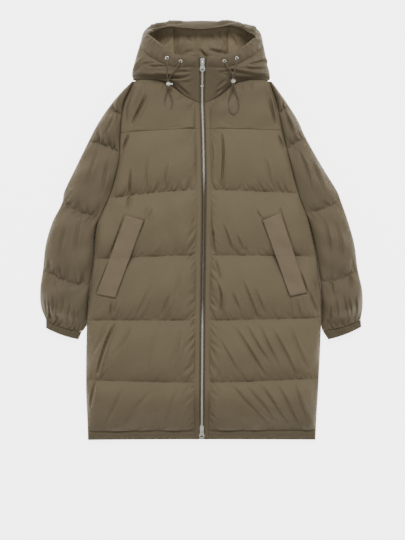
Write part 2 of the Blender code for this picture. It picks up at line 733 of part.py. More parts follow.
def sleeve_stations(side):
    """Each ring's place down the sleeve and its inner end on the armhole or beside the body."""
    heights = armhole(side)
    marks = [0, 3, 7, 13]
    stations = []
    for number, y in enumerate(heights[:-1]):
        cell = max(k for k, mark in enumerate(marks) if mark <= number)
        if cell == len(marks) - 1:
            continue
        upper, lower = heights[marks[cell]], heights[marks[cell + 1]]
        stations.append((cell + (upper - y) / (upper - lower), y, True))
    stations.append((3.0, heights[13], True))
    seam_y = {"right": -0.151, "left": -0.140}[side]
    underarm = heights[-1]
    at_underarm = 3.0 + (heights[13] - underarm) / (heights[13] - seam_y)
    stations.append((at_underarm, underarm, False))
    cuff_y = CUFF_INNER_END[side][1]
    for at in FREE_RINGS:
        y = heights[13] + (seam_y - heights[13]) * (at - 3.0) if at <= 4.0 else (
            seam_y + (cuff_y - seam_y) * (at - 4.0))
        stations.append((at, y, False))
    return stations


def sleeve_ring(side, at, inner_y, sewn):
    """Outer and inner points round one ring, from its inner end on the front to the back."""
    sign = SIDES[side]
    clear = GAP / 2 if sewn else SLEEVE_CLEAR
    start = np.array((edge_x(side, inner_y) + sign * clear, inner_y))
    if at > 4.7:
        start = start + (np.array(CUFF_INNER_END[side]) - start) * smoothstep(4.7, 5.0, at)
    end = np.array(sleeve_outer(side, at))
    across = end - start
    width = float(np.linalg.norm(across))
    normal = np.array((across[1], -across[0])) / width * sign
    sags = [ring.sag for ring in SLEEVE_RINGS]
    sag = float(along(range(len(sags)), sags, at))
    swell = puff(at - math.floor(at)) if at % 1.0 else 0.0
    top = 0.012 + (CROWN - 0.012) * swell
    ends = smoothstep(4.6, 5.0, at)
    top = top + (SLEEVE_END_CROWN - top) * ends
    mid = MID + (SLEEVE_END_MID - MID) * smoothstep(4.0, 5.0, at)
    lift = SEAM if sewn else 0.0
    radius = min(EDGE_ROUND, 0.45 * width)
    inset = min(SLEEVE_WALL, 0.3 * width)
    inside = max((0.007 if not swell else 0.0), 0.0013)
    inside = inside * (1.0 - ends) + 0.0030 * ends
    outer, inner = [], []
    for part in SLEEVE_ACROSS:
        droop = normal * sag * 4 * part * (1 - part)
        high = lift + (top - lift) * rounded(part * width, radius)
        high *= rounded((1 - part) * width, radius)
        spot = start + across * part + droop
        outer.append((spot[0], spot[1], high))
        first = 0.0 if sewn else inset
        place = (first + (width - first - inset) * part) / width
        droop = normal * sag * 4 * place * (1 - place)
        spot = start + across * place + droop
        room = 0.0 if part == 1.0 or (part == 0.0 and not sewn) else inside
        if sewn and part == 0.0:
            room = lift - SEAM_WALL
        elif sewn:
            room = inside + (lift - SEAM_WALL - inside) * max(0.0, 1.0 - part / 0.2)
            room = 0.0 if part == 1.0 else room
        inner.append((spot[0], spot[1], min(room, high * 0.7)))
    rings = []
    for face in (outer, inner):
        upper = [(x, y, mid + z) for x, y, z in face]
        lower = [(x, y, max(mid - z, 0.0)) for x, y, z in reversed(face[:-1])]
        rings.append(upper + lower)
    return rings


def make_sleeves():
    """Both sleeves: tubes from the armhole to the cuff."""
    for side in SIDES:
        outer, inner = [], []
        for at, inner_y, sewn in sleeve_stations(side):
            ring_out, ring_in = sleeve_ring(side, at, inner_y, sewn)
            outer.append(ring_out)
            inner.append(ring_in)
        wall(f"sleeve_{side}", grid(outer), grid(inner), "shell")


def make_cuffs():
    """Elastic cuffs: short flattened bands."""
    for side, sign in SIDES.items():
        top_in = np.array(CUFF_INNER_END[side])
        top_out = np.array(SLEEVE_RINGS[-1]._asdict()[side])
        end_in, end_out = (np.array(spot) for spot in CUFF_ENDS[side])
        outer, inner = [], []
        for share in (0.0, 0.5, 1.0):
            start = top_in + (end_in - top_in) * share
            stop = top_out + (end_out - top_out) * share
            across = stop - start
            width = float(np.linalg.norm(across))
            down = np.array((across[1], -across[0])) / width * sign
            sag = 0.006 * (1 - share) + 0.004 * share
            step = down * (2 * GAP if share == 0.0 else 0.0)
            ring_out, ring_in = [], []
            for number in range(16):
                angle = 2 * math.pi * number / 16
                part = 0.5 - 0.5 * math.cos(angle)
                high = math.copysign(abs(math.sin(angle)) ** 0.7, math.sin(angle))
                slim = 1.0 - 2 * CUFF_WALL / width
                place = 0.5 + (part - 0.5) * slim
                mid = CUFF_MID + (SLEEVE_END_MID - CUFF_MID) * (1 - share)
                flat = start + across * part + down * sag * 4 * part * (1 - part) + step
                ring_out.append((*flat, mid + CUFF_HEIGHT * high))
                flat = start + across * place + down * sag * 4 * place * (1 - place) + step
                ring_in.append((*flat, mid + (CUFF_HEIGHT - CUFF_WALL) * high))
            outer.append(ring_out + ring_out[:1])
            inner.append(ring_in + ring_in[:1])
        wall(f"cuff_{side}", grid(outer), grid(inner), "shell")


# Hood


def inward(point):
    """The way from a point of the hood's skin to its hollow, the same for every piece there."""
    x, y, z = point
    heart = np.array((0.75 * min(max(x, -0.10), 0.10), min(max(y, 0.33), 0.535), 0.032))
    if z > 0.040:
        heart[2] = 0.010
    way = heart - np.array(point)
    return way / np.linalg.norm(way)


def hood_point(lines, across, down):
    """A point on the hood's outer skin between the casing's seam (0) and the neck (1)."""
    columns = [along((0.0, 0.33, 0.67, 1.0), (line.seam, line.upper, line.lower, line.neck), down)
               for line in lines]
    point = np.array(along(range(len(lines)), columns, across))
    point[2] = max(point[2], 0.0)
    return point


def hood_grids(lines, first_column=0):
    """The outer and inner skins of a hood panel, thick in its middle and thin at its seams."""
    last = (len(lines) - 1) * HOOD_STEPS
    strip = 1 if lines[0].name == "zip" else 0
    outer, inner = [], []
    for down in HOOD_DOWN:
        row_out, row_in = [], []
        for column in range(first_column * HOOD_STEPS, last + 1):
            across = column / HOOD_STEPS
            over = max(column - strip, 0) / (last - strip)
            swell = abs(math.sin(math.pi * down) * math.sin(math.pi * over)) ** 0.5
            thick = STRIP_WALL if column <= strip and strip else HOOD_WALL + HOOD_PAD * swell
            point = hood_point(lines, across, down)
            away = seam_clearance(lines, across, down, last / HOOD_STEPS)
            row_out.append(point + away)
            row_in.append(point + away + inward(point) * thick)
        outer.append(row_out)
        inner.append(row_in)
    return grid(outer), grid(inner)


def seam_clearance(lines, across, down, last):
    """Half a gap away from a hood panel's own seams, toward its middle."""
    here = hood_point(lines, across, down)
    away = np.zeros(3)
    if down == 0.0:
        away += toward(here, hood_point(lines, across, 0.06))
    if down == 1.0:
        away += toward(here, hood_point(lines, across, 0.94))
    if across == 0.0 and lines[0].name != "zip":
        away += toward(here, hood_point(lines, 0.1, down))
    if across == last:
        away += toward(here, hood_point(lines, last - 0.1, down))
    return away


def toward(here, there):
    """Half a gap along the way from one point to another."""
    way = np.asarray(there) - np.asarray(here)
    return way / max(np.linalg.norm(way), 1e-9) * GAP * 0.6


def squareness(face, r, c, way):
    """How squarely a way through the skin meets it, at one of the skin's points."""
    rows, columns = face.shape[:2]
    along_rows = face[min(r + 1, rows - 1), c] - face[max(r - 1, 0), c]
    along_columns = face[r, min(c + 1, columns - 1)] - face[r, max(c - 1, 0)]
    normal = np.cross(along_rows, along_columns)
    return max(abs(normal @ way) / max(np.linalg.norm(normal), 1e-12), LEAST_SQUARE)


def make_lining(name, lines, first_column=0):
    """The lining of one hood panel: its inner skin, moved in."""
    face = hood_grids(lines, first_column)[1]
    near, far = face.copy(), face.copy()
    for r in range(face.shape[0]):
        for c in range(face.shape[1]):
            way = inward(face[r, c])
            clear = LINING_CLEAR / squareness(face, r, c, way)
            near[r, c] = face[r, c] + way * clear
            far[r, c] = face[r, c] + way * (clear + LINING_WALL)
    return wall(name, near, far, "lining")


def casing_station(line):
    """The casing's rim and its middle at one line of the hood."""
    middle = (np.array(line.rim) + np.array(line.seam)) / 2
    return np.array(line.rim), middle - inward(middle) * CASING_BULGE


def make_hood():
    """Side panels, crown strip, linings and the casing round the face opening."""
    crown = [HOOD["right"][-1], HOOD_CENTRE, HOOD["left"][-1]]
    for side in SIDES:
        wall(f"hood_side_{side}", *hood_grids(HOOD[side]), "shell")
        make_lining(f"hood_lining_{side}", HOOD[side], LINING_FROM)
    wall("hood_crown", *hood_grids(crown), "shell")
    make_lining("hood_lining_crown", crown)
    ring = [*HOOD["right"], HOOD_CENTRE, *reversed(HOOD["left"])]
    stations = [casing_station(line) for line in ring]
    outer, inner = [], []
    for number in range((len(ring) - 1) * HOOD_STEPS + 1):
        at = number / HOOD_STEPS
        rim, middle = (along(range(len(ring)), [station[k] for station in stations], at)
                       for k in range(2))
        seam = casing_seam(at)
        spots = [rim, middle, seam + toward(seam, middle)]
        outer.append(spots)
        inner.append([spot + inward(spot) * CASING_WALL for spot in spots])
    return wall("hood_casing", grid(outer), grid(inner), "shell")


def casing_seam(at):
    """The casing's seam, on the very points of the panels that it is sewn to."""
    sides = len(HOOD["right"]) - 1
    crown = [HOOD["right"][-1], HOOD_CENTRE, HOOD["left"][-1]]
    if at <= sides:
        return hood_point(HOOD["right"], at, 0.0)
    if at <= sides + 2:
        return hood_point(crown, at - sides, 0.0)
    return hood_point(HOOD["left"], 2 * sides + 2 - at, 0.0)


# Zip


def zip_levels():
    """Heights along the zip where its pieces have points."""
    hood = [hood_point(HOOD["left"], 0.0, down)[1] for down in HOOD_DOWN]
    body = [row.zip for row in Baffles("right").rows if row.zip < -0.40]
    plain = (0.335, 0.28, 0.14, 0.0, -0.14, -0.28)
    return sorted([TAPE_TOP_Y, *hood, *plain, *body[:-1], TAPE_END_Y], reverse=True)


def make_zip():
    """Tapes under the front strips, and the closed chain between them."""
    for side, sign in SIDES.items():
        outer, inner = [], []
        for y in zip_levels():
            xs = (zip_x(y) + sign * TAPE_IN, zip_x(y) + sign * TAPE_OUT)
            clear = TAPE_CLEAR + (HOOD_TAPE_CLEAR - TAPE_CLEAR) * smoothstep(0.335, 0.351, y)
            under = zip_top(y) - STRIP_WALL - clear
            outer.append([(x, y, under) for x in xs])
            inner.append([(x, y, under - TAPE_WALL) for x in xs])
        wall(f"zip_tape_{side}", grid(outer), grid(inner), "zip_tape")
    outer, inner = [], []
    for y in (CHAIN_TOP_Y, *zip_levels()[1:-1]):
        xs = (zip_x(y) - CHAIN_HALF, zip_x(y) + CHAIN_HALF)
        outer.append([(x, y, zip_top(y) + CHAIN_TOP) for x in xs])
        inner.append([(x, y, zip_top(y) + CHAIN_BOTTOM) for x in xs])
    wall("zip_chain", grid(outer), grid(inner), "metal")


def boxed(name, low, high, bevel=0.0, segments=1):
    """A box between two corners, as a mesh, its edges rounded where a bevel is given."""
    shape = bmesh.new()
    bmesh.ops.create_cube(shape, size=1.0)
    size = [high[k] - low[k] for k in range(3)]
    centre = [(high[k] + low[k]) / 2 for k in range(3)]
    bmesh.ops.scale(shape, vec=size, verts=shape.verts)
    bmesh.ops.translate(shape, vec=centre, verts=shape.verts)
    if bevel:
        bmesh.ops.bevel(shape, geom=shape.edges[:], offset=bevel, segments=segments, affect="EDGES",
                        profile=0.5)
    mesh = bpy.data.meshes.new(name)
    shape.to_mesh(mesh)
    shape.free()
    return mesh


def helper(name, mesh):
    """An object that only cuts or joins others."""
    thing = bpy.data.objects.new(name, mesh)
    CUTTERS.objects.link(thing)
    thing.hide_render = True
    thing.display_type = "WIRE"
    return thing


def combine(target, other, operation):
    """A Boolean on the target with another object."""
    modifier = target.modifiers.new(other.name, "BOOLEAN")
    modifier.operation = operation
    modifier.object = other


def cylinder(name, radius, low, high, segments=20):
    """A round bar along Z, as a mesh."""
    shape = bmesh.new()
    bmesh.ops.create_cone(shape, cap_ends=True, radius1=radius, radius2=radius, depth=high - low,
                          segments=segments)
    bmesh.ops.translate(shape, vec=(0, 0, (high + low) / 2), verts=shape.verts)
    mesh = bpy.data.meshes.new(name)
    shape.to_mesh(mesh)
    shape.free()
    return mesh


def slider_frame(slider):
    """Where a slider sits: its pivot on the chain's top and the zip's slope there."""
    low, high = slider.tilt_span
    slope = math.atan2(zip_top(high) - zip_top(low), high - low)
    top = zip_top(low) + math.tan(slope) * (slider.pivot_y - low) + CHAIN_TOP
    place = Matrix.Translation((zip_x(slider.pivot_y), slider.pivot_y, top))
    return place @ Matrix.Rotation(slope, 4, "X")


def bail_mesh(name, height):
    """The arch over the slider that holds the pull tab."""
    curve = bpy.data.curves.new(name, "CURVE")
    curve.dimensions = "3D"
    curve.bevel_depth = BAIL_RADIUS
    curve.bevel_resolution = 1
    curve.use_fill_caps = True
    spline = curve.splines.new("POLY")
    spline.points.add(BAIL_STEPS)
    for number in range(BAIL_STEPS + 1):
        angle = math.pi * number / BAIL_STEPS
        root = BAIL_ROOT if number in (0, BAIL_STEPS) else 0.0
        y = BAIL_REACH * math.cos(angle)
        z = height + BAIL_RISE * math.sin(angle) ** 0.6 - root
        spline.points[number].co = (0.0, y, z, 1.0)
    guide = bpy.data.objects.new(name, curve)
    CUTTERS.objects.link(guide)
    mesh = bpy.data.meshes.new_from_object(guide.evaluated_get(bpy.context.evaluated_depsgraph_get()))
    shape = bmesh.new()
    shape.from_mesh(mesh)
    bmesh.ops.remove_doubles(shape, verts=shape.verts, dist=1e-6)
    shape.to_mesh(mesh)
    shape.free()
    bpy.data.objects.remove(guide)
    return mesh


def make_slider(slider):
    """A slider straddling the chain, with its bail, and its pull tab on the bail."""
    frame = slider_frame(slider)
    plate_top = SLIDER_OVER_CHAIN + SLIDER_PLATE
    body = placed(f"slider_{slider.name}", boxed(
        "slider", (-SLIDER_HALF, -SLIDER_DOWN, SLIDER_FOOT), (SLIDER_HALF, SLIDER_UP, plate_top),
        SLIDER_BEVEL,
    ), "metal")
    body.matrix_world = frame
    channel = helper(f"channel_{slider.name}", boxed(
        "channel", (-SLIDER_CHANNEL, -SLIDER_DOWN - PAST, SLIDER_FOOT - PAST),
        (SLIDER_CHANNEL, SLIDER_UP + PAST, SLIDER_OVER_CHAIN)))
    channel.matrix_world = frame
    combine(body, channel, "DIFFERENCE")
    pivot = plate_top + TAB_CLEAR + TAB_WALL / 2
    bail = helper(f"bail_{slider.name}", bail_mesh(f"bail_{slider.name}", pivot))
    bail.matrix_world = frame
    combine(body, bail, "UNION")
    make_tab(slider, frame @ Matrix.Translation((0, 0, pivot)))
    return body


def make_tab(slider, frame):
    """A flat pull tab that hangs from its bail: narrow at the eye and round at its free end."""
    length = slider.tab_length
    centre = -(length - TAB_HALF)
    right = [(TAB_NECK, TAB_BAR), (TAB_NECK, -TAB_SHOULDER)]
    right += [(TAB_HALF * math.cos(turn), centre + TAB_HALF * math.sin(turn) * TAB_END_SQUASH)
              for turn in np.linspace(0.0, -math.pi / 2, TAB_END_POINTS)]
    left = [(-x, y) for x, y in reversed(right[:-1])]
    ring = right + left
    count = len(ring)
    points = [(x, y, z) for z in (-TAB_WALL / 2, TAB_WALL / 2) for x, y in ring]
    faces = [tuple(reversed(range(count))), tuple(range(count, 2 * count))]
    faces += [(k, (k + 1) % count, (k + 1) % count + count, k + count) for k in range(count)]
    tab = mesh_object(f"pull_{slider.name}", points, faces, "metal")
    tab.matrix_world = frame
    eye = helper(f"eye_{slider.name}", boxed(
        "eye", (-TAB_EYE, -(BAIL_REACH + BAIL_RADIUS + TAB_EYE_PLAY), -PAST),
        (TAB_EYE, -TAB_BAR, PAST)))
    eye.matrix_world = frame
    combine(tab, eye, "DIFFERENCE")
    hole = helper(f"hole_{slider.name}", cylinder("hole", 1.0, -PAST, PAST, 16))
    stretch = Matrix.Diagonal((TAB_HOLE[0], TAB_HOLE[1], 1.0, 1.0))
    hole.data.transform(stretch)
    hole.matrix_world = frame @ Matrix.Translation((0, TAB_HOLE_UP - length, 0))
    combine(tab, hole, "DIFFERENCE")
    return tab


# Hood cords and what is on them


def seat(thing, x, y):
    """Where a straight drop at x, y meets an object, and the way its face looks."""
    shape = bmesh.new()
    shape.from_mesh(thing.data)
    tree = BVHTree.FromBMesh(shape)
    place, normal, _, _ = tree.ray_cast(Vector((x, y, 1.0)), Vector((0, 0, -1)))
    shape.free()
    return place, normal


def make_eyelets(casing):
    """Rolled eyelets, each through a round hole in the casing. Returns each one's own frame."""
    mouths = {}
    for side, spots in EYELETS.items():
        for name, (x, y) in spots.items():
            place, normal = seat(casing, x, y)
            frame = Matrix.Translation(place) @ normal.to_track_quat("Z", "Y").to_matrix().to_4x4()
            mouths[side, name] = frame
            cut = helper(f"eyelet_cut_{side}_{name}",
                         cylinder("eyelet_cut", EYELET_TUBE + GAP, -2 * PAST, PAST,
                                  EYELET_SEGMENTS))
            cut.matrix_world = frame
            combine(casing, cut, "DIFFERENCE")
            profile = (
                (EYELET_HOLE, EYELET_RISE * 0.75), (EYELET_CREST, EYELET_RISE + GAP),
                (EYELET_OUT - EYELET_ROUND, EYELET_RISE * 0.7), (EYELET_OUT, GAP),
                (EYELET_TUBE, GAP), (EYELET_TUBE, -EYELET_DEPTH), (EYELET_HOLE, -EYELET_DEPTH),
            )
            mesh = turned(f"eyelet_{side}_{name}", profile, EYELET_SEGMENTS)
            ring = placed(f"eyelet_{side}_{name}", mesh, "metal")
            ring.matrix_world = frame
    return mouths


def turned(name, profile, segments):
    """A ring: a closed profile of radius and height swept round Z."""
    points, faces = [], []
    count = len(profile)
    for step in range(segments):
        angle = 2 * math.pi * step / segments
        points += [(r * math.cos(angle), r * math.sin(angle), z) for r, z in profile]
    for step in range(segments):
        for k in range(count):
            a, b = step * count + k, step * count + (k + 1) % count
            c = (step + 1) % segments * count
            faces.append((a, b, c + (k + 1) % count, c + k))
    mesh = bpy.data.meshes.new(name)
    mesh.from_pydata(points, [], faces)
    shape = bmesh.new()
    shape.from_mesh(mesh)
    if shape.calc_volume(signed=True) < 0:
        bmesh.ops.reverse_faces(shape, faces=shape.faces)
    shape.to_mesh(mesh)
    shape.free()
    return mesh


def lock_frame(side):
    """Where a cord lock lies. Its button looks along the frame's Z: sideways, or straight up."""
    turn = Matrix.Rotation(math.pi / 2, 4, "Y") if side == "right" else Matrix.Identity(4)
    return Matrix.Translation(LOCKS[side]) @ turn


def make_locks():
    """Ball locks with a sprung button each, and a slot across for both strands of the cord."""
    for side in SIDES:
        frame = lock_frame(side)
        shape = bmesh.new()
        bmesh.ops.create_uvsphere(shape, u_segments=LOCK_SEGMENTS[0], v_segments=LOCK_SEGMENTS[1],
                                  radius=LOCK_RADIUS)
        mesh = bpy.data.meshes.new(f"lock_{side}")
        shape.to_mesh(mesh)
        shape.free()
        lock = placed(f"lock_{side}", mesh, "metal")
        lock.matrix_world = frame
        bore = helper(f"bore_{side}", cylinder("bore", BORE_RADIUS, BORE_FLOOR, 2 * PAST))
        bore.matrix_world = frame
        combine(lock, bore, "DIFFERENCE")
        half = LOCK_SLOT if side == "left" else LOCK_SLOT[::-1]
        slot = helper(f"slot_{side}", boxed(
            "slot", (-half[0], -2 * PAST, -LOCK_SLOT_OFF - half[1]),
            (half[0], 2 * PAST, -LOCK_SLOT_OFF + half[1])))
        slot.matrix_world = frame
        combine(lock, slot, "DIFFERENCE")
        button = placed(f"button_{side}",
                        cylinder("button", BUTTON_RADIUS, BUTTON_FROM, BUTTON_TO), "metal")
        button.matrix_world = frame


def strand(side, which):
    """The middle of one strand inside its lock, as a point in the coat's frame."""
    offset = STRAND_OFF * which
    if side == "left":
        spot = Vector((offset, 0.0, -LOCK_SLOT_OFF))
    else:
        spot = Vector((0.0, 0.0, -LOCK_SLOT_OFF + offset))
    return lock_frame(side) @ spot


def smooth_route(points):
    """Points a step apart along a smooth curve through a hand-laid route."""
    points = [np.array(point) for point in points]
    spans = [np.linalg.norm(after - before) for before, after in zip(points, points[1:])]
    knots = np.concatenate(([0.0], np.cumsum(spans)))
    count = int(round(knots[-1] / CORD_STEP))
    return [along(knots, points, knots[-1] * k / count) for k in range(count + 1)]


def make_cords(mouths):
    """Hood cords, each one tube from eyelet to eyelet by way of its lock and its loop."""
    for side, sign in SIDES.items():
        route = ROUTES[side]
        first, second = strand(side, sign), strand(side, -sign)
        ahead = Vector((0, STRAND_AHEAD, 0))
        outer, inner = mouths[side, "outer"], mouths[side, "inner"]
        start = [outer @ Vector((0, 0, height)) for height in CORD_MOUTH]
        end = [inner @ Vector((0, 0, height)) for height in reversed(CORD_MOUTH)]
        points = [*start, *route.down, first + ahead, first - ahead, *route.loop, second - ahead,
                  second + ahead, *route.up, *end]
        curve = bpy.data.curves.new(f"cord_{side}", "CURVE")
        curve.dimensions = "3D"
        curve.bevel_depth = CORD_RADIUS
        curve.bevel_resolution = 2
        curve.use_fill_caps = True
        spline = curve.splines.new("POLY")
        laid = smooth_route(points)
        spline.points.add(len(laid) - 1)
        for spot, place in zip(spline.points, laid):
            spot.co = (*place, 1.0)
        cord = bpy.data.objects.new(f"cord_{side}", curve)
        COAT.objects.link(cord)
        curve.materials.append(material("cord"))


def smooth_shading():
    """Shade the rounded pieces smooth and keep their sharp edges."""
    for thing in COAT.objects:
        if thing.type == "MESH":
            thing.data.shade_smooth()
            thing.data.set_sharp_from_angle(angle=math.radians(35))


def main():
    """Build every piece of the coat."""
    make_fronts()
    make_yokes()
    make_back()
    make_sleeves()
    make_cuffs()
    mouths = make_eyelets(make_hood())
    make_zip()
    for slider in SLIDERS:
        make_slider(slider)
    make_locks()
    make_cords(mouths)
    smooth_shading()


for old in list(bpy.data.objects):
    bpy.data.objects.remove(old)
COAT = bpy.data.collections.new("puffer_jacket")
CUTTERS = bpy.data.collections.new("cutters")
for group in (COAT, CUTTERS):
    bpy.context.scene.collection.children.link(group)
main()
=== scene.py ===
"""Looks of a long hooded puffer coat that lies flat on its back, front up and zipped.

Every length is in metres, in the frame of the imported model: +X is the wearer's left, +Y runs up
to the hood and +Z up from the surface that the coat lies on.
"""

import json
import logging
import math
from dataclasses import dataclass, field
from enum import Enum
from typing import Iterable, Sequence

import bmesh
import bpy
import numpy as np
from mathutils import Matrix, Vector
from mathutils.bvhtree import BVHTree

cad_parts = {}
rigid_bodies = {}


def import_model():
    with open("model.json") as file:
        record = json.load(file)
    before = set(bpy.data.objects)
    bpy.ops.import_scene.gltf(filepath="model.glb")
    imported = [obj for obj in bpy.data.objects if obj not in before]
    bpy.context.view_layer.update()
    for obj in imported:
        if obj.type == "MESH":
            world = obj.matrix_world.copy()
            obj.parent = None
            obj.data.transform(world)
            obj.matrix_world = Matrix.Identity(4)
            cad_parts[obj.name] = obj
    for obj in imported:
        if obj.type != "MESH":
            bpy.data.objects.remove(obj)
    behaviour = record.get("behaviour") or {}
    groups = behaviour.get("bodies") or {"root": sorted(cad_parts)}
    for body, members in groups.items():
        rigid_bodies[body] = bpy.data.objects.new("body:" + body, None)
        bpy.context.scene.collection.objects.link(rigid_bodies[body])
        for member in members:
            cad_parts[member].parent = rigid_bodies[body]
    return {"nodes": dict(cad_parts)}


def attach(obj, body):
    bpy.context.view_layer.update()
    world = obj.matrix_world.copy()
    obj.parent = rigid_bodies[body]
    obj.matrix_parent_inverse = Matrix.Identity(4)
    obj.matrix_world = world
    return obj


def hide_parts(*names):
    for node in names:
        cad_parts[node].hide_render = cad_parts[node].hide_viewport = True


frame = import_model()

LOG = logging.getLogger("coat")
GAP = 0.0003
BODY = "coat"
Point = tuple[float, ...]
Field = np.ndarray
Piece = bpy.types.Object
Material = bpy.types.Material


class Side(Enum):
    """A side of the wearer."""

    RIGHT = "right"
    LEFT = "left"

    @property
    def sign(self) -> int:
        """The side's direction along X."""
        return self.pick(-1, 1)

    def pick(self, right: object, left: object) -> object:
        """This side's one of two values."""
        return right if self is Side.RIGHT else left


# Small sums


def eased(low: float, high: float, value: Field) -> Field:
    """Share of the way from low to high, eased at both ends."""
    share = np.clip((np.asarray(value, float) - low) / (high - low), 0.0, 1.0)
    return share * share * (3.0 - 2.0 * share)


def rounded(distance: Field, radius: Field) -> Field:
    """Height share of a quarter ellipse this far in from its edge."""
    inside = 1.0 - np.clip(np.asarray(distance, float) / radius, 0.0, 1.0)
    return np.sqrt(1.0 - inside * inside)


def puff(share: Field) -> Field:
    """How far a baffle swells between its seams: most a little below its middle."""
    return np.abs(np.sin(np.pi * np.clip(share, 0.0, 1.0) ** 1.12)) ** 0.6


def crowded(count: int, pull: float = 0.5) -> Field:
    """Shares from 0 to 1 that crowd towards both ends."""
    even = np.linspace(0.0, 1.0, count)
    return even * (1.0 - pull) + (0.5 - 0.5 * np.cos(np.pi * even)) * pull


def walked(path: Field) -> Field:
    """Distance along a path at each of its points."""
    return np.concatenate([[0.0], np.cumsum(np.linalg.norm(np.diff(path, axis=0), axis=1))])


@dataclass(frozen=True)
class Track:
    """A smooth curve through values at rising knots."""

    knots: Sequence[float]
    values: Sequence

    def __call__(self, at: Field) -> Field:
        """Read the curve.

        Args:
            at: places along the knots, of any shape.

        Returns:
            The value at each place, with the values' own shape last.
        """
        knots = np.asarray(self.knots, float)
        values = np.asarray(self.values, float)
        extra = (1,) * (values.ndim - 1)
        spans = knots[2:] - knots[:-2]
        slopes = np.empty_like(values)
        slopes[1:-1] = (values[2:] - values[:-2]) / spans.reshape(-1, *extra)
        slopes[0] = (values[1] - values[0]) / (knots[1] - knots[0])
        slopes[-1] = (values[-1] - values[-2]) / (knots[-1] - knots[-2])
        at = np.clip(np.asarray(at, float), knots[0], knots[-1])
        cell = np.clip(np.searchsorted(knots, at, side="right") - 1, 0, len(knots) - 2)
        width = knots[cell + 1] - knots[cell]
        t = np.reshape((at - knots[cell]) / width, at.shape + extra)
        width = np.reshape(width, at.shape + extra)
        return (
            (2 * t**3 - 3 * t**2 + 1) * values[cell]
            + (t**3 - 2 * t**2 + t) * width * slopes[cell]
            + (3 * t**2 - 2 * t**3) * values[cell + 1]
            + (t**3 - t**2) * width * slopes[cell + 1]
        )


def falling(rows: Sequence[Point]) -> Track:
    """A curve through (height, value) rows that are listed from the top down."""
    return Track([-row[0] for row in rows], [row[1] for row in rows])


# Shader nodes


class Shade:
    """A node socket in an expression, so that shader sums read as sums."""

    def __init__(self, tree: bpy.types.NodeTree, socket: bpy.types.NodeSocket) -> None:
        """Keep the tree and the output socket."""
        self.tree = tree
        self.socket = socket

    def maths(self, operation: str, *others: "Shade | float") -> "Shade":
        """Add a Math node.

        Args:
            operation: the node's operation.
            others: its other values, in order.

        Returns:
            The node's result.
        """
        node = self.tree.nodes.new("ShaderNodeMath")
        node.operation = operation
        self.tree.links.new(self.socket, node.inputs[0])
        for slot, other in zip(node.inputs[1:], others):
            if isinstance(other, Shade):
                self.tree.links.new(other.socket, slot)
            else:
                slot.default_value = other
        return Shade(self.tree, node.outputs[0])

    def __add__(self, other: "Shade | float") -> "Shade":
        """Sum."""
        return self.maths("ADD", other)

    __radd__ = __add__

    def __mul__(self, other: "Shade | float") -> "Shade":
        """Product."""
        return self.maths("MULTIPLY", other)

    def __sub__(self, other: "Shade | float") -> "Shade":
        """Difference."""
        return self.maths("SUBTRACT", other)

    def clipped(self, low: float, high: float) -> "Shade":
        """This value kept between two others."""
        return self.maths("MAXIMUM", low).maths("MINIMUM", high)


class Finish:
    """A material under way: its Principled shader and the nodes that feed it."""

    def __init__(self, name: str) -> None:
        """Start an empty material of this name."""
        self.material = bpy.data.materials.new(name)
        self.material.use_nodes = True
        self.tree = self.material.node_tree
        self.shader = self.tree.nodes["Principled BSDF"]

    def node(self, kind: str, settings: dict | None = None, output: int | str = 0,
             **sockets: object) -> Shade:
        """Add any node.

        Args:
            kind: the node's type.
            settings: its own properties, set first.
            output: the output that is wanted.
            sockets: values or links by input name, with _ for a space, or by _ and a number.

        Returns:
            The wanted output.
        """
        node = self.tree.nodes.new(kind)
        for key, value in (settings or {}).items():
            setattr(node, key, value)
        for key, value in sockets.items():
            self.feed(node.inputs[int(key[1:]) if key[0] == "_" else key.replace("_", " ")], value)
        return Shade(self.tree, node.outputs[output])

    def feed(self, socket: bpy.types.NodeSocket, value: object) -> None:
        """Link or set one input socket."""
        if isinstance(value, Shade):
            self.tree.links.new(value.socket, socket)
        else:
            socket.default_value = value

    def set(self, **sockets: object) -> "Finish":
        """Set or link sockets of the Principled shader, by name with _ for a space."""
        for key, value in sockets.items():
            self.feed(self.shader.inputs[key.replace("_", " ")], value)
        return self

    def place(self) -> Shade:
        """The object's own coordinates, which are the coat's frame in metres."""
        return self.node("ShaderNodeTexCoord", output="Object")

    def axis(self, place: Shade, number: int) -> Shade:
        """One coordinate of a place."""
        return self.node("ShaderNodeSeparateXYZ", output=number, Vector=place)

    def stretched(self, place: Shade, scale: Point, turn: Point = (0.0, 0.0, 0.0)) -> Shade:
        """Coordinates scaled and turned."""
        return self.node("ShaderNodeMapping", Vector=place, Scale=scale, Rotation=turn)

    def noise(self, place: Shade, scale: float, detail: float = 3.0, rough: float = 0.55,
              bend: float = 0.0) -> Shade:
        """A noise value."""
        return self.node("ShaderNodeTexNoise", Vector=place, Scale=scale, Detail=detail,
                         Roughness=rough, Distortion=bend)

    def waves(self, place: Shade, direction: str, scale: float) -> Shade:
        """Straight fine bands along one axis."""
        return self.node("ShaderNodeTexWave", {"bands_direction": direction}, output="Fac",
                         Vector=place, Scale=scale)

    def tint(self, low: Point, high: Point, share: Shade) -> Shade:
        """A colour between two others."""
        return self.node("ShaderNodeMix", {"data_type": "RGBA"}, output=2, _0=share,
                         _6=(*low, 1.0), _7=(*high, 1.0))

    def shades(self, colour: Point, dark: float, light: float, share: Shade) -> Shade:
        """A colour between a darker and a lighter shade of one."""
        low, high = (tuple(value * level for value in colour) for level in (dark, light))
        return self.tint(low, high, share)

    def bump(self, height: Shade, strength: float, depth: float) -> "Finish":
        """Send a height to the shader's normal."""
        return self.set(Normal=self.node("ShaderNodeBump", Height=height, Strength=strength,
                                         Distance=depth))


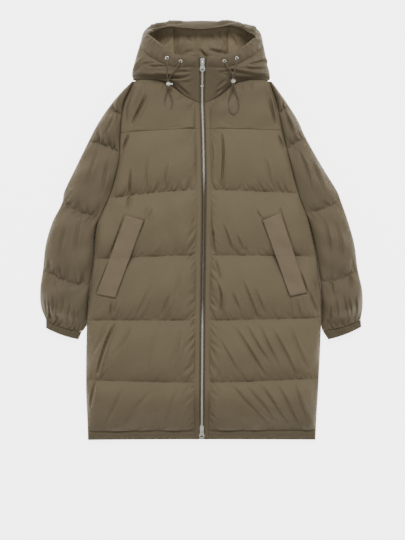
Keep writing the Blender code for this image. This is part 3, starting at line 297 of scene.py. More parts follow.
@dataclass(frozen=True)
class Nylon:
    """Matte nylon, finely woven, softly crumpled, a little uneven in colour, with painted shade at
    top and hem.
    """

    name: str
    colour: Point
    shade: float = 0.60
    light: float = 1.07
    cloudy: float = 0.27
    flecked: float = 0.09
    level: float = 0.64
    # Painted shade: how strongly the top and hem masks darken the colour.
    painted_shade_depth: float = 2.1
    top_painted_shade: float = 0.0
    hem_painted_shade: float = 0.0
    top_shade_from: float = 0.26
    top_shade_slope: float = 9.0
    hem_shade_from: float = -0.45
    hem_shade_slope: float = 9.0
    rough: float = 0.66
    crumple: float = 0.55
    sheen: float = 0.02
    shine: float = 0.22
    weave: float = 520.0

    def make(self) -> Material:
        """Build the material."""
        finish = Finish(self.name)
        place = finish.place()
        cloud = finish.noise(place, 9.0, 4.0)
        fleck = finish.noise(place, 260.0, 2.0)
        # Painted shade: masks that darken the colour above one height and below another, in place
        # of light that falls off there.
        along = finish.axis(place, 1)
        top = ((along - self.top_shade_from) * self.top_shade_slope).clipped(0.0, 1.0) * self.top_painted_shade
        hem = ((along - self.hem_shade_from) * -self.hem_shade_slope).clipped(0.0, 1.0) * self.hem_painted_shade
        share = cloud * self.cloudy + fleck * self.flecked + self.level
        share = (share - (top + hem) * self.painted_shade_depth).clipped(0.0, 1.0)
        creases = finish.noise(finish.stretched(place, (1.0, 0.55, 1.0)), 46.0, 5.0, 0.6, 0.7)
        fine = finish.noise(finish.stretched(place, (1.0, 0.7, 1.0)), 150.0, 3.0)
        warp, weft = (finish.waves(place, way, self.weave) for way in "XY")
        height = creases * self.crumple + fine * 0.16 + warp * weft * 0.035
        return finish.set(
            Base_Color=finish.shades(self.colour, self.shade, self.light, share),
            Roughness=(self.rough + (cloud - 0.5) * 0.12).clipped(0.3, 1.0),
            Sheen_Weight=self.sheen, Sheen_Roughness=0.45,
            Specular_IOR_Level=self.shine,
        ).bump(height, 0.55, 0.0045).material


@dataclass(frozen=True)
class Tape:
    """Woven zip tape with fine cross ribs."""

    name: str = "zip_tape"
    colour: Point = (0.112, 0.090, 0.058)
    rib: float = 340.0

    def make(self) -> Material:
        """Build the material."""
        finish = Finish(self.name)
        place = finish.place()
        ribs = finish.waves(finish.stretched(place, (1.0, 1.0, 0.0)), "Y", self.rib)
        share = ribs * 0.5 + finish.noise(place, 60.0) * 0.5
        return finish.set(
            Base_Color=finish.shades(self.colour, 0.8, 1.25, share),
            Roughness=0.85,
        ).bump(ribs, 0.5, 0.0005).material


@dataclass(frozen=True)
class Braid:
    """Round braided cord or thread: two crossing sets of fine diagonal bands."""

    name: str
    colour: Point
    pitch: float = 260.0
    turn: float = 0.7

    def make(self) -> Material:
        """Build the material."""
        finish = Finish(self.name)
        place = finish.place()
        one, two = (finish.waves(finish.stretched(place, (1.0, 1.0, 1.0), (0, 0, turn)), "X",
                                 self.pitch) for turn in (self.turn, -self.turn))
        both = one.maths("MAXIMUM", two)
        return finish.set(
            Base_Color=finish.shades(self.colour, 0.72, 1.15, both),
            Roughness=0.8,
        ).bump(both, 0.6, 0.0006).material


@dataclass(frozen=True)
class Plated:
    """Bright silver plating with a light satin grain, faint handling marks and painted shade over
    a span of heights.
    """

    name: str
    colour: Point
    rough: float = 0.24
    # the colour's darkest level, reached through wear and through the painted shade
    wear_and_shade_tone: Point = (0.80, 0.80, 0.80)
    metal: float = 0.8
    # lowest and highest height of the span that painted shade darkens
    painted_shade_span: Point = (0.0, 0.0)

    def make(self) -> Material:
        """Build the material."""
        finish = Finish(self.name)
        place = finish.place()
        grain = finish.noise(finish.stretched(place, (1.0, 6.0, 1.0)), 700.0, 3.0)
        marks = finish.noise(place, 120.0, 4.0)
        wear_and_shade = (marks * 0.5 + finish.noise(place, 5.0, 1.0) * 0.9 - 0.2).clipped(0.0, 1.0)
        # Painted shade: the colour darkens between the span's two heights, in place of the shadow
        # over the zip's middle.
        along = finish.axis(place, 1)
        above = ((along - self.painted_shade_span[0]) * 14.0).clipped(0.0, 1.0)
        below = ((along * -1.0 + self.painted_shade_span[1]) * 14.0).clipped(0.0, 1.0)
        wear_and_shade = (wear_and_shade * 0.3 + 0.7 - above * below * 0.8).clipped(0.0, 1.0)
        return finish.set(
            Base_Color=finish.tint(tuple(v * low for v, low in zip(self.colour, self.wear_and_shade_tone)),
                                   self.colour, wear_and_shade),
            Metallic=self.metal,
            Roughness=(self.rough + (marks - 0.5) * 0.22).clipped(0.08, 0.6),
        ).bump(grain, 0.12, 0.0002).material


@dataclass(frozen=True)
class Paper:
    """The plain pale surface that the coat lies on: it glows evenly, except under the body and the
    cuffs, where a painted shadow shows in the gaps between the pieces.
    """

    name: str = "pale_floor"
    colour: Point = (0.93, 0.93, 0.93)
    glow: float = 3.9
    # Painted shadow: the size and middle of the box under the body, and of the slanted box under
    # each cuff, where the floor does not glow.
    painted_shadow_half: Point = (0.344, 0.184)
    middle: Point = (0.006, -0.084)
    cuff_shadow_half: Point = (0.047, 0.007)
    cuff_shadow_middle: Point = (0.385, -0.277)
    cuff_slant: float = 0.3
    cuff_turn: float = 0.3325
    sharp: float = 30.0

    def make(self) -> Material:
        """Build the material."""
        finish = Finish(self.name)
        grain = finish.noise(finish.place(), 40.0)
        place = finish.place()
        right, along = finish.axis(place, 0), finish.axis(place, 1)
        across = right.maths("ABSOLUTE")
        beside = (right - self.middle[0]).maths("ABSOLUTE")
        above = ((along - self.middle[1]) * (1 / self.painted_shadow_half[1])).maths("ABSOLUTE")
        body = (beside * (1 / self.painted_shadow_half[0])).maths("MAXIMUM", above)
        slant = along - self.cuff_shadow_middle[1] - (across - self.cuff_turn) * self.cuff_slant
        cuff = ((across - self.cuff_shadow_middle[0]) * (1 / self.cuff_shadow_half[0])).maths("ABSOLUTE").maths(
            "MAXIMUM", (slant * (1 / self.cuff_shadow_half[1])).maths("ABSOLUTE"))
        # Painted shadow: the floor stops glowing inside the boxes under the body and the cuffs, so
        # the gaps between the pieces show dark.
        clear = ((body.maths("MINIMUM", cuff) - 0.97) * self.sharp).clipped(0.0, 1.0)
        return finish.set(Base_Color=finish.shades(self.colour, 0.995, 1.0, grain), Roughness=0.95,
                          Specular_IOR_Level=0.1, Emission_Strength=self.glow,
                          Emission_Color=finish.tint((0, 0, 0), (1, 1, 1), clear)).material


def made(finish: Nylon | Tape | Braid | Plated) -> Material:
    """A field of the wardrobe whose material is made with it."""
    return field(default_factory=finish.make)


@dataclass
class Wardrobe:
    """Every material of the coat, made once."""

    # Painted shade: the shell darkens above a height of 0.26 m, over the yoke's top, and below
    # -0.45 m towards the hem.
    shell: Material = made(Nylon("shell_painted_shade_nylon", (0.157, 0.125, 0.075), top_painted_shade=0.15,
                                 hem_painted_shade=0.27))
    # Painted shade: the sleeves, hood and cuffs are darker copies of the shell's cloth, and the
    # hood darkens further above a height of 0.50 m.
    sleeve: Material = made(Nylon("sleeve_painted_shade_nylon", (0.133, 0.106, 0.065)))
    hood: Material = made(Nylon("hood_painted_shade_nylon", (0.123, 0.097, 0.059), top_painted_shade=0.15,
                                top_shade_from=0.50, top_shade_slope=18.0, crumple=0.8))
    cuff: Material = made(Nylon("cuff_painted_shade_nylon", (0.112, 0.090, 0.054)))
    welt: Material = made(Nylon("welt_nylon", (0.181, 0.140, 0.089), crumple=0.25))
    # Painted light: the linings are lighter than the shell's cloth, to light the hood's shaded
    # hollow; the crown lining darkens below about 0.545 m, fully below 0.51 m, as painted shade,
    # and the side linings are lighter still for the hollow's shaded corners.
    lining: Material = made(Nylon("lining_nylon", (0.205, 0.161, 0.096), rough=0.55, crumple=1.2,
                                  hem_painted_shade=0.20, hem_shade_from=0.545, hem_shade_slope=28.0))
    painted_light_side_lining: Material = made(Nylon("side_lining_nylon", (0.226, 0.177, 0.105), rough=0.55,
                                       crumple=1.2))
    tape: Material = made(Tape())
    cord: Material = made(Braid("hood_cord", (0.110, 0.085, 0.055)))
    thread: Material = made(Braid("sewing_thread", (0.120, 0.093, 0.060), pitch=900.0))
    metal: Material = made(Plated("silver_plate", (0.94, 0.92, 0.87)))
    # Painted shade: the teeth darken between heights -0.26 m and 0.17 m, besides their random
    # wear.
    teeth: Material = made(Plated("zip_teeth", (0.93, 0.89, 0.80), rough=0.34, metal=0.35,
                                  wear_and_shade_tone=(0.22, 0.19, 0.15), painted_shade_span=(-0.26, 0.17)))


# The coat's form


@dataclass(frozen=True)
class CoatForm:
    """Sizes that every cloth piece shares, and the coat's surfaces worked out from them."""

    mid: float = 0.030
    seam: float = 0.010
    crown: float = 0.029
    back_crown: float = 0.036
    edge: float = 0.0022
    seam_wall: float = 0.004
    seam_rise: float = 0.001
    seam_bow: float = 1.5
    layer_gap: float = 0.0004
    edge_round: float = 0.045
    hem_mid: float = 0.008
    hem_layer: float = 0.005
    hem_drop: Point = (0.425, 0.536)
    yoke_bridge: float = 0.6
    bridge_reach: float = 0.45
    strip_slope: float = 0.05
    strip_edge: float = 0.0075
    strip_width: float = 0.012
    strip_wall: float = 0.003
    strip_lift: Point = (0.0123, 0.0066)
    shoulder_y: float = 0.410
    back_neck_y: float = 0.4005
    outline: tuple[Point, ...] = (  # height, wearer's right, wearer's left
        (0.410, -0.186, 0.187), (0.380, -0.200, 0.198), (0.351, -0.213, 0.208),
        (0.309, -0.221, 0.216), (0.265, -0.224, 0.225), (0.188, -0.228, 0.244),
        (0.094, -0.253, 0.269), (0.050, -0.273, 0.286), (0.007, -0.290, 0.300),
        (-0.079, -0.297, 0.318), (-0.191, -0.311, 0.330), (-0.283, -0.317, 0.329),
        (-0.439, -0.3185, 0.322), (-0.580, -0.315, 0.316),
    )
    zip_line: tuple[Point, ...] = (
        (0.473, 0.0028), (0.351, 0.0020), (0.254, 0.0047), (0.103, 0.0066),
        (-0.219, 0.0028), (-0.549, 0.0008), (-0.580, 0.0004),
    )
    seams: tuple[Point, ...] = (  # height at the zip, at the right side, at the left side
        (0.280, 0.268, 0.275), (0.112, 0.089, 0.102), (-0.068, -0.079, -0.071),
        (-0.247, -0.247, -0.240), (-0.418, -0.411, -0.406), (-0.554, -0.556, -0.552),
        (-0.5775, -0.5794, -0.5785),
    )
    hood_front: tuple[Point, ...] = (  # height along the zip, height of the strips there
        (0.351, 0.0423), (0.385, 0.0520), (0.419, 0.0640), (0.446, 0.0745), (0.4725, 0.0840),
    )

    @property
    def valley(self) -> float:
        """Outer offset along a quilting seam."""
        return self.seam + self.seam_rise

    def zip_x(self, y: Field) -> Field:
        """The zip's centre line."""
        return falling(self.zip_line)(-np.asarray(y, float))

    def side_x(self, side: Side, y: Field) -> Field:
        """The body's side."""
        line = [(row[0], row[side.pick(1, 2)]) for row in self.outline]
        return falling(line)(-np.asarray(y, float))

    def seam_y(self, number: int, side: Side, across: Field) -> Field:
        """A quilting seam's height, from the zip (0) to the side (1)."""
        at_zip, right, left = self.seams[number]
        at_side = side.pick(right, left)
        return at_zip + (at_side - at_zip) * np.asarray(across, float) ** self.seam_bow

    def mid_height(self, y: Field) -> Field:
        """Where the front and back layers meet: lower at the hem."""
        return self.mid + (self.hem_mid - self.mid) * eased(*self.hem_drop, -np.asarray(y))

    def strip_top(self, y: Field) -> Field:
        """Height of the front strips beside the zip."""
        y = np.asarray(y, float)
        high, low = self.strip_lift
        lift = high + (low - high) * eased(*self.hem_drop, -y)
        hood = Track(*zip(*self.hood_front))(y)
        return np.where(y <= self.hood_front[0][0], self.mid_height(y) + lift, hood)

    def armhole(self, side: Side) -> tuple[float, ...]:
        """Heights on the armhole at the sleeve's quilting seams, and at its end."""
        yoke, chest, waist = (row[side.pick(1, 2)] for row in self.seams[:3])
        return (
            self.shoulder_y, yoke + (self.shoulder_y - yoke) * 0.35,
            yoke + (chest - yoke) * 0.30, chest + (waist - chest) * 0.30,
            chest + (waist - chest) * 0.50,
        )

    def edge_lift(self, side: Side, y: Field) -> Field:
        """How far a layer stands off at the body's side: high where the sleeve is sewn on."""
        end = self.armhole(side)[-1]
        return self.edge + (self.seam - self.edge) * eased(end, end + 0.014, np.asarray(y))

    def layer(self, swell: Field, side_share: Field, edge: Field, wall: Field, crown: float,
              low: float) -> tuple[Field, Field]:
        """A padded layer's two skins.

        Args:
            swell: 0 at a quilting seam and 1 on a crown.
            side_share: 0 at the side and 1 inside.
            edge: offset of the outer skin at the side.
            wall: thickness at the side.
            crown: outer offset on a crown.
            low: outer offset at a seam.

        Returns:
            Outer and inner offset from the height where the layers meet.
        """
        outer = edge + (low + (crown - low) * swell - edge) * side_share
        room = low - self.seam_wall - self.layer_gap
        full = self.layer_gap + np.maximum(room * (1 - swell), 0)
        inner = edge - wall
        return outer, inner + (full - inner) * np.minimum(side_share * 1.5, 1.0)

    def bridged(self, swell: Field, share: Field) -> Field:
        """What the swelling gains near the yoke's plain seam, whose valley is partly bridged."""
        return (1 - swell) * self.yoke_bridge * eased(self.bridge_reach, 0.0, share)

    def wall_at_edge(self, edge: Field) -> Field:
        """A layer's thickness at the side."""
        return np.where(edge > self.edge + 0.001, self.seam_wall, self.edge - GAP / 2)


FORM = CoatForm()


# Creases


@dataclass(frozen=True)
class Fold:
    """A crease laid along plan points: a trough with a soft ridge on the line's left."""

    line: tuple[Point, ...]
    depth: float = 0.004
    width: float = 0.005
    lip: float = 0.5

    def lift(self, x: Field, y: Field) -> Field:
        """Height that the crease adds.

        Args:
            x: plan places.
            y: plan places.

        Returns:
            The added height at each place.
        """
        steps = np.linspace(0.0, len(self.line) - 1.0, 5 * (len(self.line) - 1) + 1)
        if len(self.line) > 2:
            path = Track(range(len(self.line)), self.line)(steps)
        else:
            path = np.array(self.line[0]) + np.outer(steps, np.subtract(*self.line[::-1]))
        reach = 6.0 * self.width
        low, high = path.min(0) - reach, path.max(0) + reach
        near = (x > low[0]) & (x < high[0]) & (y > low[1]) & (y < high[1])
        added = np.zeros_like(x)
        if not near.any():
            return added
        spots = np.stack([x[near], y[near]], -1)
        best = np.full(len(spots), 1e9)
        signed = np.zeros(len(spots))
        run = np.zeros(len(spots))
        spans = np.linalg.norm(np.diff(path, axis=0), axis=1)
        passed = np.concatenate([[0.0], np.cumsum(spans)])
        for number, span in enumerate(spans):
            way = (path[number + 1] - path[number]) / span
            off = spots - path[number]
            t = np.clip(off @ way, 0.0, span)
            away = off - t[:, None] * way
            distance = np.hypot(away[:, 0], away[:, 1])
            turn = way[0] * away[:, 1] - way[1] * away[:, 0]
            closer = distance < best
            best = np.where(closer, distance, best)
            signed = np.where(closer, np.copysign(distance, turn), signed)
            run = np.where(closer, passed[number] + t, run)
        taper = np.sin(np.pi * np.clip(run / passed[-1], 0.0, 1.0)) ** 0.7
        trough = np.exp(-((signed / self.width) ** 2))
        ridge = np.exp(-(((signed - 1.9 * self.width) / (1.7 * self.width)) ** 2))
        added[near] = self.depth * taper * (self.lip * ridge - trough)
        return added


@dataclass(frozen=True)
class Gathers:
    """Short uneven puckers that run out from a sewn line."""

    seed: int
    pitch: float = 0.013
    reach: float = 0.034
    depth: float = 0.0030
    lean: float = 0.0
    spread: float = 0.35
    lip: float = 0.45
    slim: float = 0.30

    def lift(self, along: Field, out: Field) -> Field:
        """Height that the puckers add.

        Args:
            along: distance along the sewn line.
            out: distance out from it.

        Returns:
            The added height at each place.
        """
        chance = np.random.default_rng(self.seed)
        added = np.zeros_like(along)
        spot, end = float(along.min()), float(along.max())
        while spot < end:
            reach = self.reach * chance.uniform(0.4, 1.45)
            depth = self.depth * chance.uniform(0.3, 1.3)
            width = self.pitch * self.slim * chance.uniform(0.75, 1.35)
            lean = self.lean + chance.uniform(-1.0, 1.0) * self.spread
            curl = chance.uniform(-6.0, 6.0)
            near = (out < reach) & (np.abs(along - spot) < 0.05)
            if near.any():
                gone = out[near] / reach
                across = along[near] - spot - lean * out[near] - curl * out[near] ** 2
                wide = width * (1.0 + 1.3 * gone)
                fade = eased(0.0, 0.004, out[near]) * (1.0 - gone) ** 1.3
                trough = np.exp(-((across / wide) ** 2))
                ridge = np.exp(-(((across - 2.0 * wide) / (1.6 * wide)) ** 2))
                added[near] += depth * fade * (self.lip * ridge - trough)
            spot += self.pitch * chance.uniform(0.5, 1.5)
        return added


def pulled(seed: int, size: Point, pull: float, lean: float) -> Gathers:
    """Puckers of a pitch, reach and depth that a seam's pull makes deeper or shallower."""
    return Gathers(seed, size[0], size[1], size[2] * pull, lean)


def total_lift(folds: Iterable[Fold], x: Field, y: Field) -> Field:
    """Height that a set of creases adds."""
    added = np.zeros_like(x)
    for fold in folds:
        added += fold.lift(x, y)
    return added


def rolling(x: Field, y: Field, seed: int, depth: float, length: float) -> Field:
    """A slow uneven swell of the filling, so that no two baffles are alike."""
    chance = np.random.default_rng(seed)
    added = np.zeros_like(x)
    for _ in range(7):
        turn = chance.uniform(0.0, math.pi)
        wave = length * chance.uniform(0.6, 1.7)
        way = math.cos(turn) * x + math.sin(turn) * y
        added += np.sin(2 * math.pi * (way / wave + chance.uniform(0.0, 1.0)))
    return depth * added / 2.6


def folds(*rows: tuple) -> tuple[Fold, ...]:
    """Creases from rows of depth and width in 0.1 mm, lip in hundredths, and points in mm."""
    return tuple(Fold(tuple((x / 1000, y / 1000) for x, y in line), depth / 10000, width / 10000,
                      lip / 100) for depth, width, lip, *line in rows)


FRONT_FOLDS = folds(
    # Deep folds from the hood's corners into the armholes, and softer ones beside them.
    (85, 33, 35, (-150, 372), (-170, 332), (-192, 286)),
    (70, 31, 35, (-200, 264), (-209, 240), (-222, 206)),
    (30, 33, 50, (-160, 396), (-174, 362), (-187, 325)),
    (30, 36, 50, (-187, 380), (-204, 345), (-210, 300)),
    (80, 32, 35, (185, 374), (197, 318), (205, 288)),
    (66, 30, 35, (211, 264), (220, 240), (234, 212)),
    (28, 33, 50, (171, 398), (182, 360), (190, 322)),
    (30, 30, 50, (203, 356), (211, 318), (222, 276)),
    # Beside the zip, on the wearer's left.
    (78, 23, 40, (56, 268), (60, 214), (58, 160), (53, 116)),
    (62, 24, 40, (19, 40), (31, -6), (35, -62)),
    (40, 24, 30, (37, -74), (47, -112), (52, -140)),
    (62, 26, 40, (40, -140), (53, -170), (55, -204), (49, -232)),
    (22, 24, 50, (22, 255), (30, 214), (27, 172)),
    # Down past the right pocket.
    (62, 25, 50, (-194, 172), (-197, 112), (-206, 52)),
    (66, 25, 50, (-208, 50), (-226, -6), (-248, -66)),
    (64, 26, 50, (-252, -84), (-268, -126), (-281, -160)),
    (52, 24, 50, (-244, -190), (-248, -216), (-252, -242)),
    (36, 28, 50, (-136, 60), (-149, 24)),
    (30, 24, 50, (-148, 64), (-160, 38)),
    # About the left pocket.
    (38, 26, 50, (151, 54), (165, 30)),
    (26, 24, 50, (216, 64), (218, 44)),
    (32, 24, 50, (246, -192), (248, -240)),
    (28, 26, 50, (262, -196), (272, -238)),
    (42, 29, 50, (292, -160), (306, -196), (322, -232)),
    (30, 26, 50, (305, -130), (318, -158), (326, -186)),
    # Long side-seam fold on the wearer's right, through three baffles.
    (32, 30, 50, (-231, -188), (-246, -240)),
    (88, 29, 50, (-236, -250), (-262, -312), (-288, -398)),
    (30, 40, 50, (-262, -256), (-280, -304), (-298, -340)),
    (64, 32, 50, (-292, -414), (-300, -452), (-306, -486)),
    (34, 40, 50, (-194, -258), (-214, -306), (-244, -344)),
    # Slanting folds in the lower baffles, wearer's left.
    (32, 38, 50, (50, -300), (76, -346), (100, -392)),
    (50, 37, 50, (88, -262), (124, -316), (156, -368), (176, -404)),
    (44, 34, 50, (122, -260), (152, -312), (186, -364)),
    (40, 37, 50, (158, -262), (184, -318), (214, -376)),
    (44, 40, 50, (192, -270), (226, -330), (256, -394)),
    (32, 44, 50, (242, -258), (262, -318), (286, -374)),
    (40, 46, 50, (80, -424), (134, -480), (190, -534)),
    (34, 42, 50, (120, -424), (160, -470), (204, -520)),
    (42, 41, 50, (160, -422), (196, -472), (240, -530)),
    (40, 42, 50, (205, -420), (238, -478), (270, -536)),
    (34, 40, 50, (252, -418), (272, -472), (296, -530)),
    # Slanting folds above the hip seam.
    (44, 37, 50, (112, -138), (136, -196), (152, -240)),
    (38, 33, 50, (84, -170), (104, -222)),
    (34, 38, 50, (146, -160), (170, -226)),
    (36, 41, 50, (-84, -176), (-112, -238)),
    (34, 42, 50, (-138, -150), (-176, -236)),
    (22, 46, 50, (-60, -120), (-70, -180)),
    # Above the waist seam and the chest seam.
    (38, 28, 50, (58, 18), (74, -24), (84, -60)),
    (34, 30, 50, (96, -10), (114, -58)),
    (30, 33, 50, (-92, 186), (-100, 146), (-102, 116)),
    (30, 28, 50, (-148, 196), (-152, 150), (-149, 112)),
    (26, 36, 50, (176, 196), (186, 150), (190, 118)),
    # Slanting folds in the lower baffles, wearer's right.
    (26, 46, 50, (-58, -262), (-68, -330), (-86, -372)),
    (22, 53, 50, (-120, -268), (-140, -330), (-150, -390)),
    (26, 53, 50, (-130, -434), (-184, -492), (-216, -536)),
    (22, 50, 50, (-60, -430), (-86, -486), (-100, -534)),
    (28, 46, 50, (-212, -428), (-240, -486), (-262, -528)),
)


# Meshes


def closed_wall(name: str, outer: Field, inner: Field) -> Piece:
    """Make a closed skin of two matching grids, with a rim along every open edge of theirs.

    Args:
        name: the piece's name.
        outer: the outer grid of points.
        inner: the inner grid of points.

    Returns:
        The object.
    """
    rows, columns = outer.shape[:2]
    keys = np.round(outer.reshape(-1, 3) / 2e-6).astype(np.int64)
    _, first, number = np.unique(keys, axis=0, return_index=True, return_inverse=True)
    number = number.reshape(rows, columns)
    skin_out = outer.reshape(-1, 3)[first]
    skin_in = inner.reshape(-1, 3)[first]
    shift = len(skin_out)
    corners = np.stack([number[:-1, :-1], number[:-1, 1:], number[1:, 1:], number[1:, :-1]], -1)
    faces = []
    for face in corners.reshape(-1, 4).tolist():
        kept = [spot for k, spot in enumerate(face) if spot != face[k - 1]]
        if len(set(kept)) >= 3:
            faces.append(kept)
    ends = {(face[k - 1], face[k]) for face in faces for k in range(len(face))}
    solid = list(faces)
    solid += [[spot + shift for spot in reversed(face)] for face in faces]
    solid += [[b, a, a + shift, b + shift] for a, b in ends if (b, a) not in ends]
    return meshed(name, np.concatenate([skin_out, skin_in]), solid)


def meshed(name: str, points: Field, faces: Sequence[Sequence[int]]) -> Piece:
    """Make a smooth mesh object whose faces point out.

    Args:
        name: the piece's name.
        points: its points.
        faces: its faces, by point number.

    Returns:
        The object.
    """
    mesh = bpy.data.meshes.new(name)
    mesh.from_pydata(np.asarray(points).tolist(), [], faces)
    shape = bmesh.new()
    shape.from_mesh(mesh)
    if shape.calc_volume(signed=True) < 0:
        bmesh.ops.reverse_faces(shape, faces=shape.faces)
    shape.to_mesh(mesh)
    shape.free()
    mesh.polygons.foreach_set("use_smooth", [True] * len(mesh.polygons))
    piece = bpy.data.objects.new(name, mesh)
    bpy.context.scene.collection.objects.link(piece)
    return piece


def dress(piece: Piece, material: Material, slot: str, *nodes: str) -> Piece:
    """Give a piece its material and its body, and hide the nodes that it stands for.

    Args:
        piece: the piece.
        material: its material.
        slot: the record's slot of that material; not used.
        nodes: the nodes that it replaces.

    Returns:
        The piece.
    """
    piece.data.materials.clear()
    piece.data.materials.append(material)
    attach(piece, BODY)
    if nodes:
        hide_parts(*nodes)
    return piece


def mesh_area(piece: Piece) -> float:
    """The area of all of a piece's faces."""
    return sum(face.area for face in piece.data.polygons)


def pierced(piece: Piece, holes: Sequence[tuple[Field, Field]], radius: float) -> Piece:
    """Cut round holes through a piece.

    Args:
        piece: the piece.
        holes: each hole's middle and the way that it faces.
        radius: their radius.

    Returns:
        The piece.
    """
    cutters = []
    for middle, way in holes:
        mesh = bpy.data.meshes.new("hole")
        form = bmesh.new()
        bmesh.ops.create_cone(form, cap_ends=True, segments=24, radius1=radius, radius2=radius,
                              depth=0.03)
        form.to_mesh(mesh)
        form.free()
        cutter = bpy.data.objects.new("hole", mesh)
        bpy.context.scene.collection.objects.link(cutter)
        turn = Vector(way).to_track_quat("Z", "Y").to_matrix().to_4x4()
        cutter.matrix_world = Matrix.Translation(Vector(middle)) @ turn
        cut = piece.modifiers.new("hole", "BOOLEAN")
        cut.object = cutter
        cut.operation = "DIFFERENCE"
        cutters.append(cutter)
    bpy.context.view_layer.update()
    graph = bpy.context.evaluated_depsgraph_get()
    mesh = bpy.data.meshes.new_from_object(piece.evaluated_get(graph))
    piece.modifiers.clear()
    piece.data = mesh
    for cutter in cutters:
        bpy.data.objects.remove(cutter)
    return piece


@dataclass
class Skins:
    """The two skins of a cloth piece, where creases may lift the outer one, and its seams."""

    name: str
    outer: Field
    inner: Field
    free: Field
    pins: Field
    growth: float = 0.04
    least: float = 0.0015

    def plan(self) -> tuple[Field, Field]:
        """Where the outer skin's points lie in plan."""
        return self.outer[..., 0], self.outer[..., 1]

    def settle(self, moved: Field) -> None:
        """Move the outer skin as a settled one with half as many columns moved.

        Args:
            moved: how far each point of the settled skin moved.
        """
        wide = np.pad(moved, ((0, 0), (1, 1), (0, 0)), mode="edge")
        between = (9 * (wide[:, 1:-2] + wide[:, 2:-1]) - wide[:, :-3] - wide[:, 3:]) / 16
        full = np.empty_like(self.outer)
        full[:, ::2] = moved
        full[:, 1::2] = between
        self.outer = self.outer + full

    def crease(self, lift: Field) -> None:
        """Add creases to the outer skin's height, kept clear of the inner skin."""
        raised = self.outer[..., 2] + lift * self.free
        floor = self.inner[..., 2] + self.least
        self.outer[..., 2] = np.where(self.free > 0, np.maximum(raised, floor), self.outer[..., 2])

    def build(self) -> Piece:
        """Make the object."""
        return closed_wall(self.name, self.outer, self.inner)


@dataclass
class Settling:
    """Lets the filled cloth swell and buckle between its sewn lines."""

    pressure: float = 2.0
    bending: float = 0.05
    tension: float = 12.0
    frames: int = 20
    quality: int = 5
    cap: float = 0.009
    most_growth: float = 0.08
    mass: float = 0.1
    air: float = 2.0
    damping: float = 5.0
    shear: float = 0.4

    def run(self, pieces: Sequence[Skins], plain: Sequence[Skins]) -> list[Field]:
        """Swell every outer skin, in one cloth.

        Args:
            pieces: the skins, creased where the cloth starts to fold.
            plain: the same skins without their creases.

        Returns:
            How far each point ends up from its plain skin.
        """
        points = np.concatenate([skins.outer.reshape(-1, 3) for skins in pieces])
        faces, spans, first = [], [], 0
        for skins in pieces:
            rows, columns = skins.outer.shape[:2]
            number = first + np.arange(rows * columns).reshape(rows, columns)
            corners = [number[:-1, :-1], number[:-1, 1:], number[1:, 1:], number[1:, :-1]]
            grid = np.stack(corners, -1).reshape(-1, 4)
            spot = skins.outer[rows // 3:, columns // 4:]
            up = np.cross(spot[0, 1] - spot[0, 0], spot[1, 0] - spot[0, 0])[2] > 0
            faces.append(grid if up else grid[:, ::-1])
            spans.append((first, rows, columns))
            first += rows * columns
        pins = np.concatenate([skins.pins.reshape(-1) for skins in pieces])
        growth = np.concatenate([np.full(skins.pins.size, skins.growth) for skins in pieces])
        cloth = self.cloth(points, np.concatenate(faces), pins, growth)
        scene = bpy.context.scene
        for number in range(1, self.frames + 1):
            scene.frame_set(number)
        settled = cloth.evaluated_get(bpy.context.evaluated_depsgraph_get()).data
        spots = np.empty(len(settled.vertices) * 3)
        settled.vertices.foreach_get("co", spots)
        scene.frame_set(1)
        mesh = cloth.data
        bpy.data.objects.remove(cloth)
        bpy.data.meshes.remove(mesh)
        moves = []
        for skins, (first, rows, columns) in zip(plain, spans):
            now = spots.reshape(-1, 3)[first:first + rows * columns].reshape(rows, columns, 3)
            moved = now - skins.outer
            size = np.linalg.norm(moved, axis=-1, keepdims=True)
            moves.append(moved * np.minimum(1.0, self.cap / np.maximum(size, 1e-9)))
            LOG.info("%s settled, %.1f mm on average and %.1f at most", skins.name,
                     1000 * float(size.mean()), 1000 * float(size.max()))
        return moves

    def cloth(self, points: Field, faces: Field, pins: Field, growth: Field) -> Piece:
        """Make the cloth object.

        Args:
            points: all points.
            faces: all faces, facing out.
            pins: how firmly each point is held.
            growth: how much larger the cloth is cut at each point than where it lies.

        Returns:
            The object, with its cloth modifier.
        """
        mesh = bpy.data.meshes.new("settling_cloth")
        mesh.from_pydata(points.tolist(), [], faces.tolist())
        piece = bpy.data.objects.new("settling_cloth", mesh)
        bpy.context.scene.collection.objects.link(piece)
        for name, shares in (("sewn", pins), ("full", growth / self.most_growth)):
            group = piece.vertex_groups.new(name=name)
            for share in np.unique(np.round(shares, 2)):
                chosen = np.nonzero(np.round(shares, 2) == share)[0]
                group.add(chosen.tolist(), float(share), "REPLACE")
        modifier = piece.modifiers.new("cloth", "CLOTH")
        settings = modifier.settings
        settings.quality = self.quality
        settings.mass = self.mass
        settings.air_damping = self.air
        settings.tension_stiffness = settings.compression_stiffness = self.tension
        settings.shear_stiffness = self.tension * self.shear
        settings.bending_stiffness = self.bending
        settings.tension_damping = settings.compression_damping = self.damping
        settings.shear_damping = self.damping
        settings.vertex_group_mass = "sewn"
        settings.pin_stiffness = 1.0
        settings.vertex_group_shrink = "full"
        settings.shrink_min = 0.0
        settings.shrink_max = -self.most_growth
        settings.use_pressure = True
        settings.uniform_pressure_force = self.pressure
        settings.effector_weights.gravity = 0.0
        modifier.collision_settings.use_collision = False
        modifier.point_cache.frame_end = self.frames
        return piece


# Cloth panels


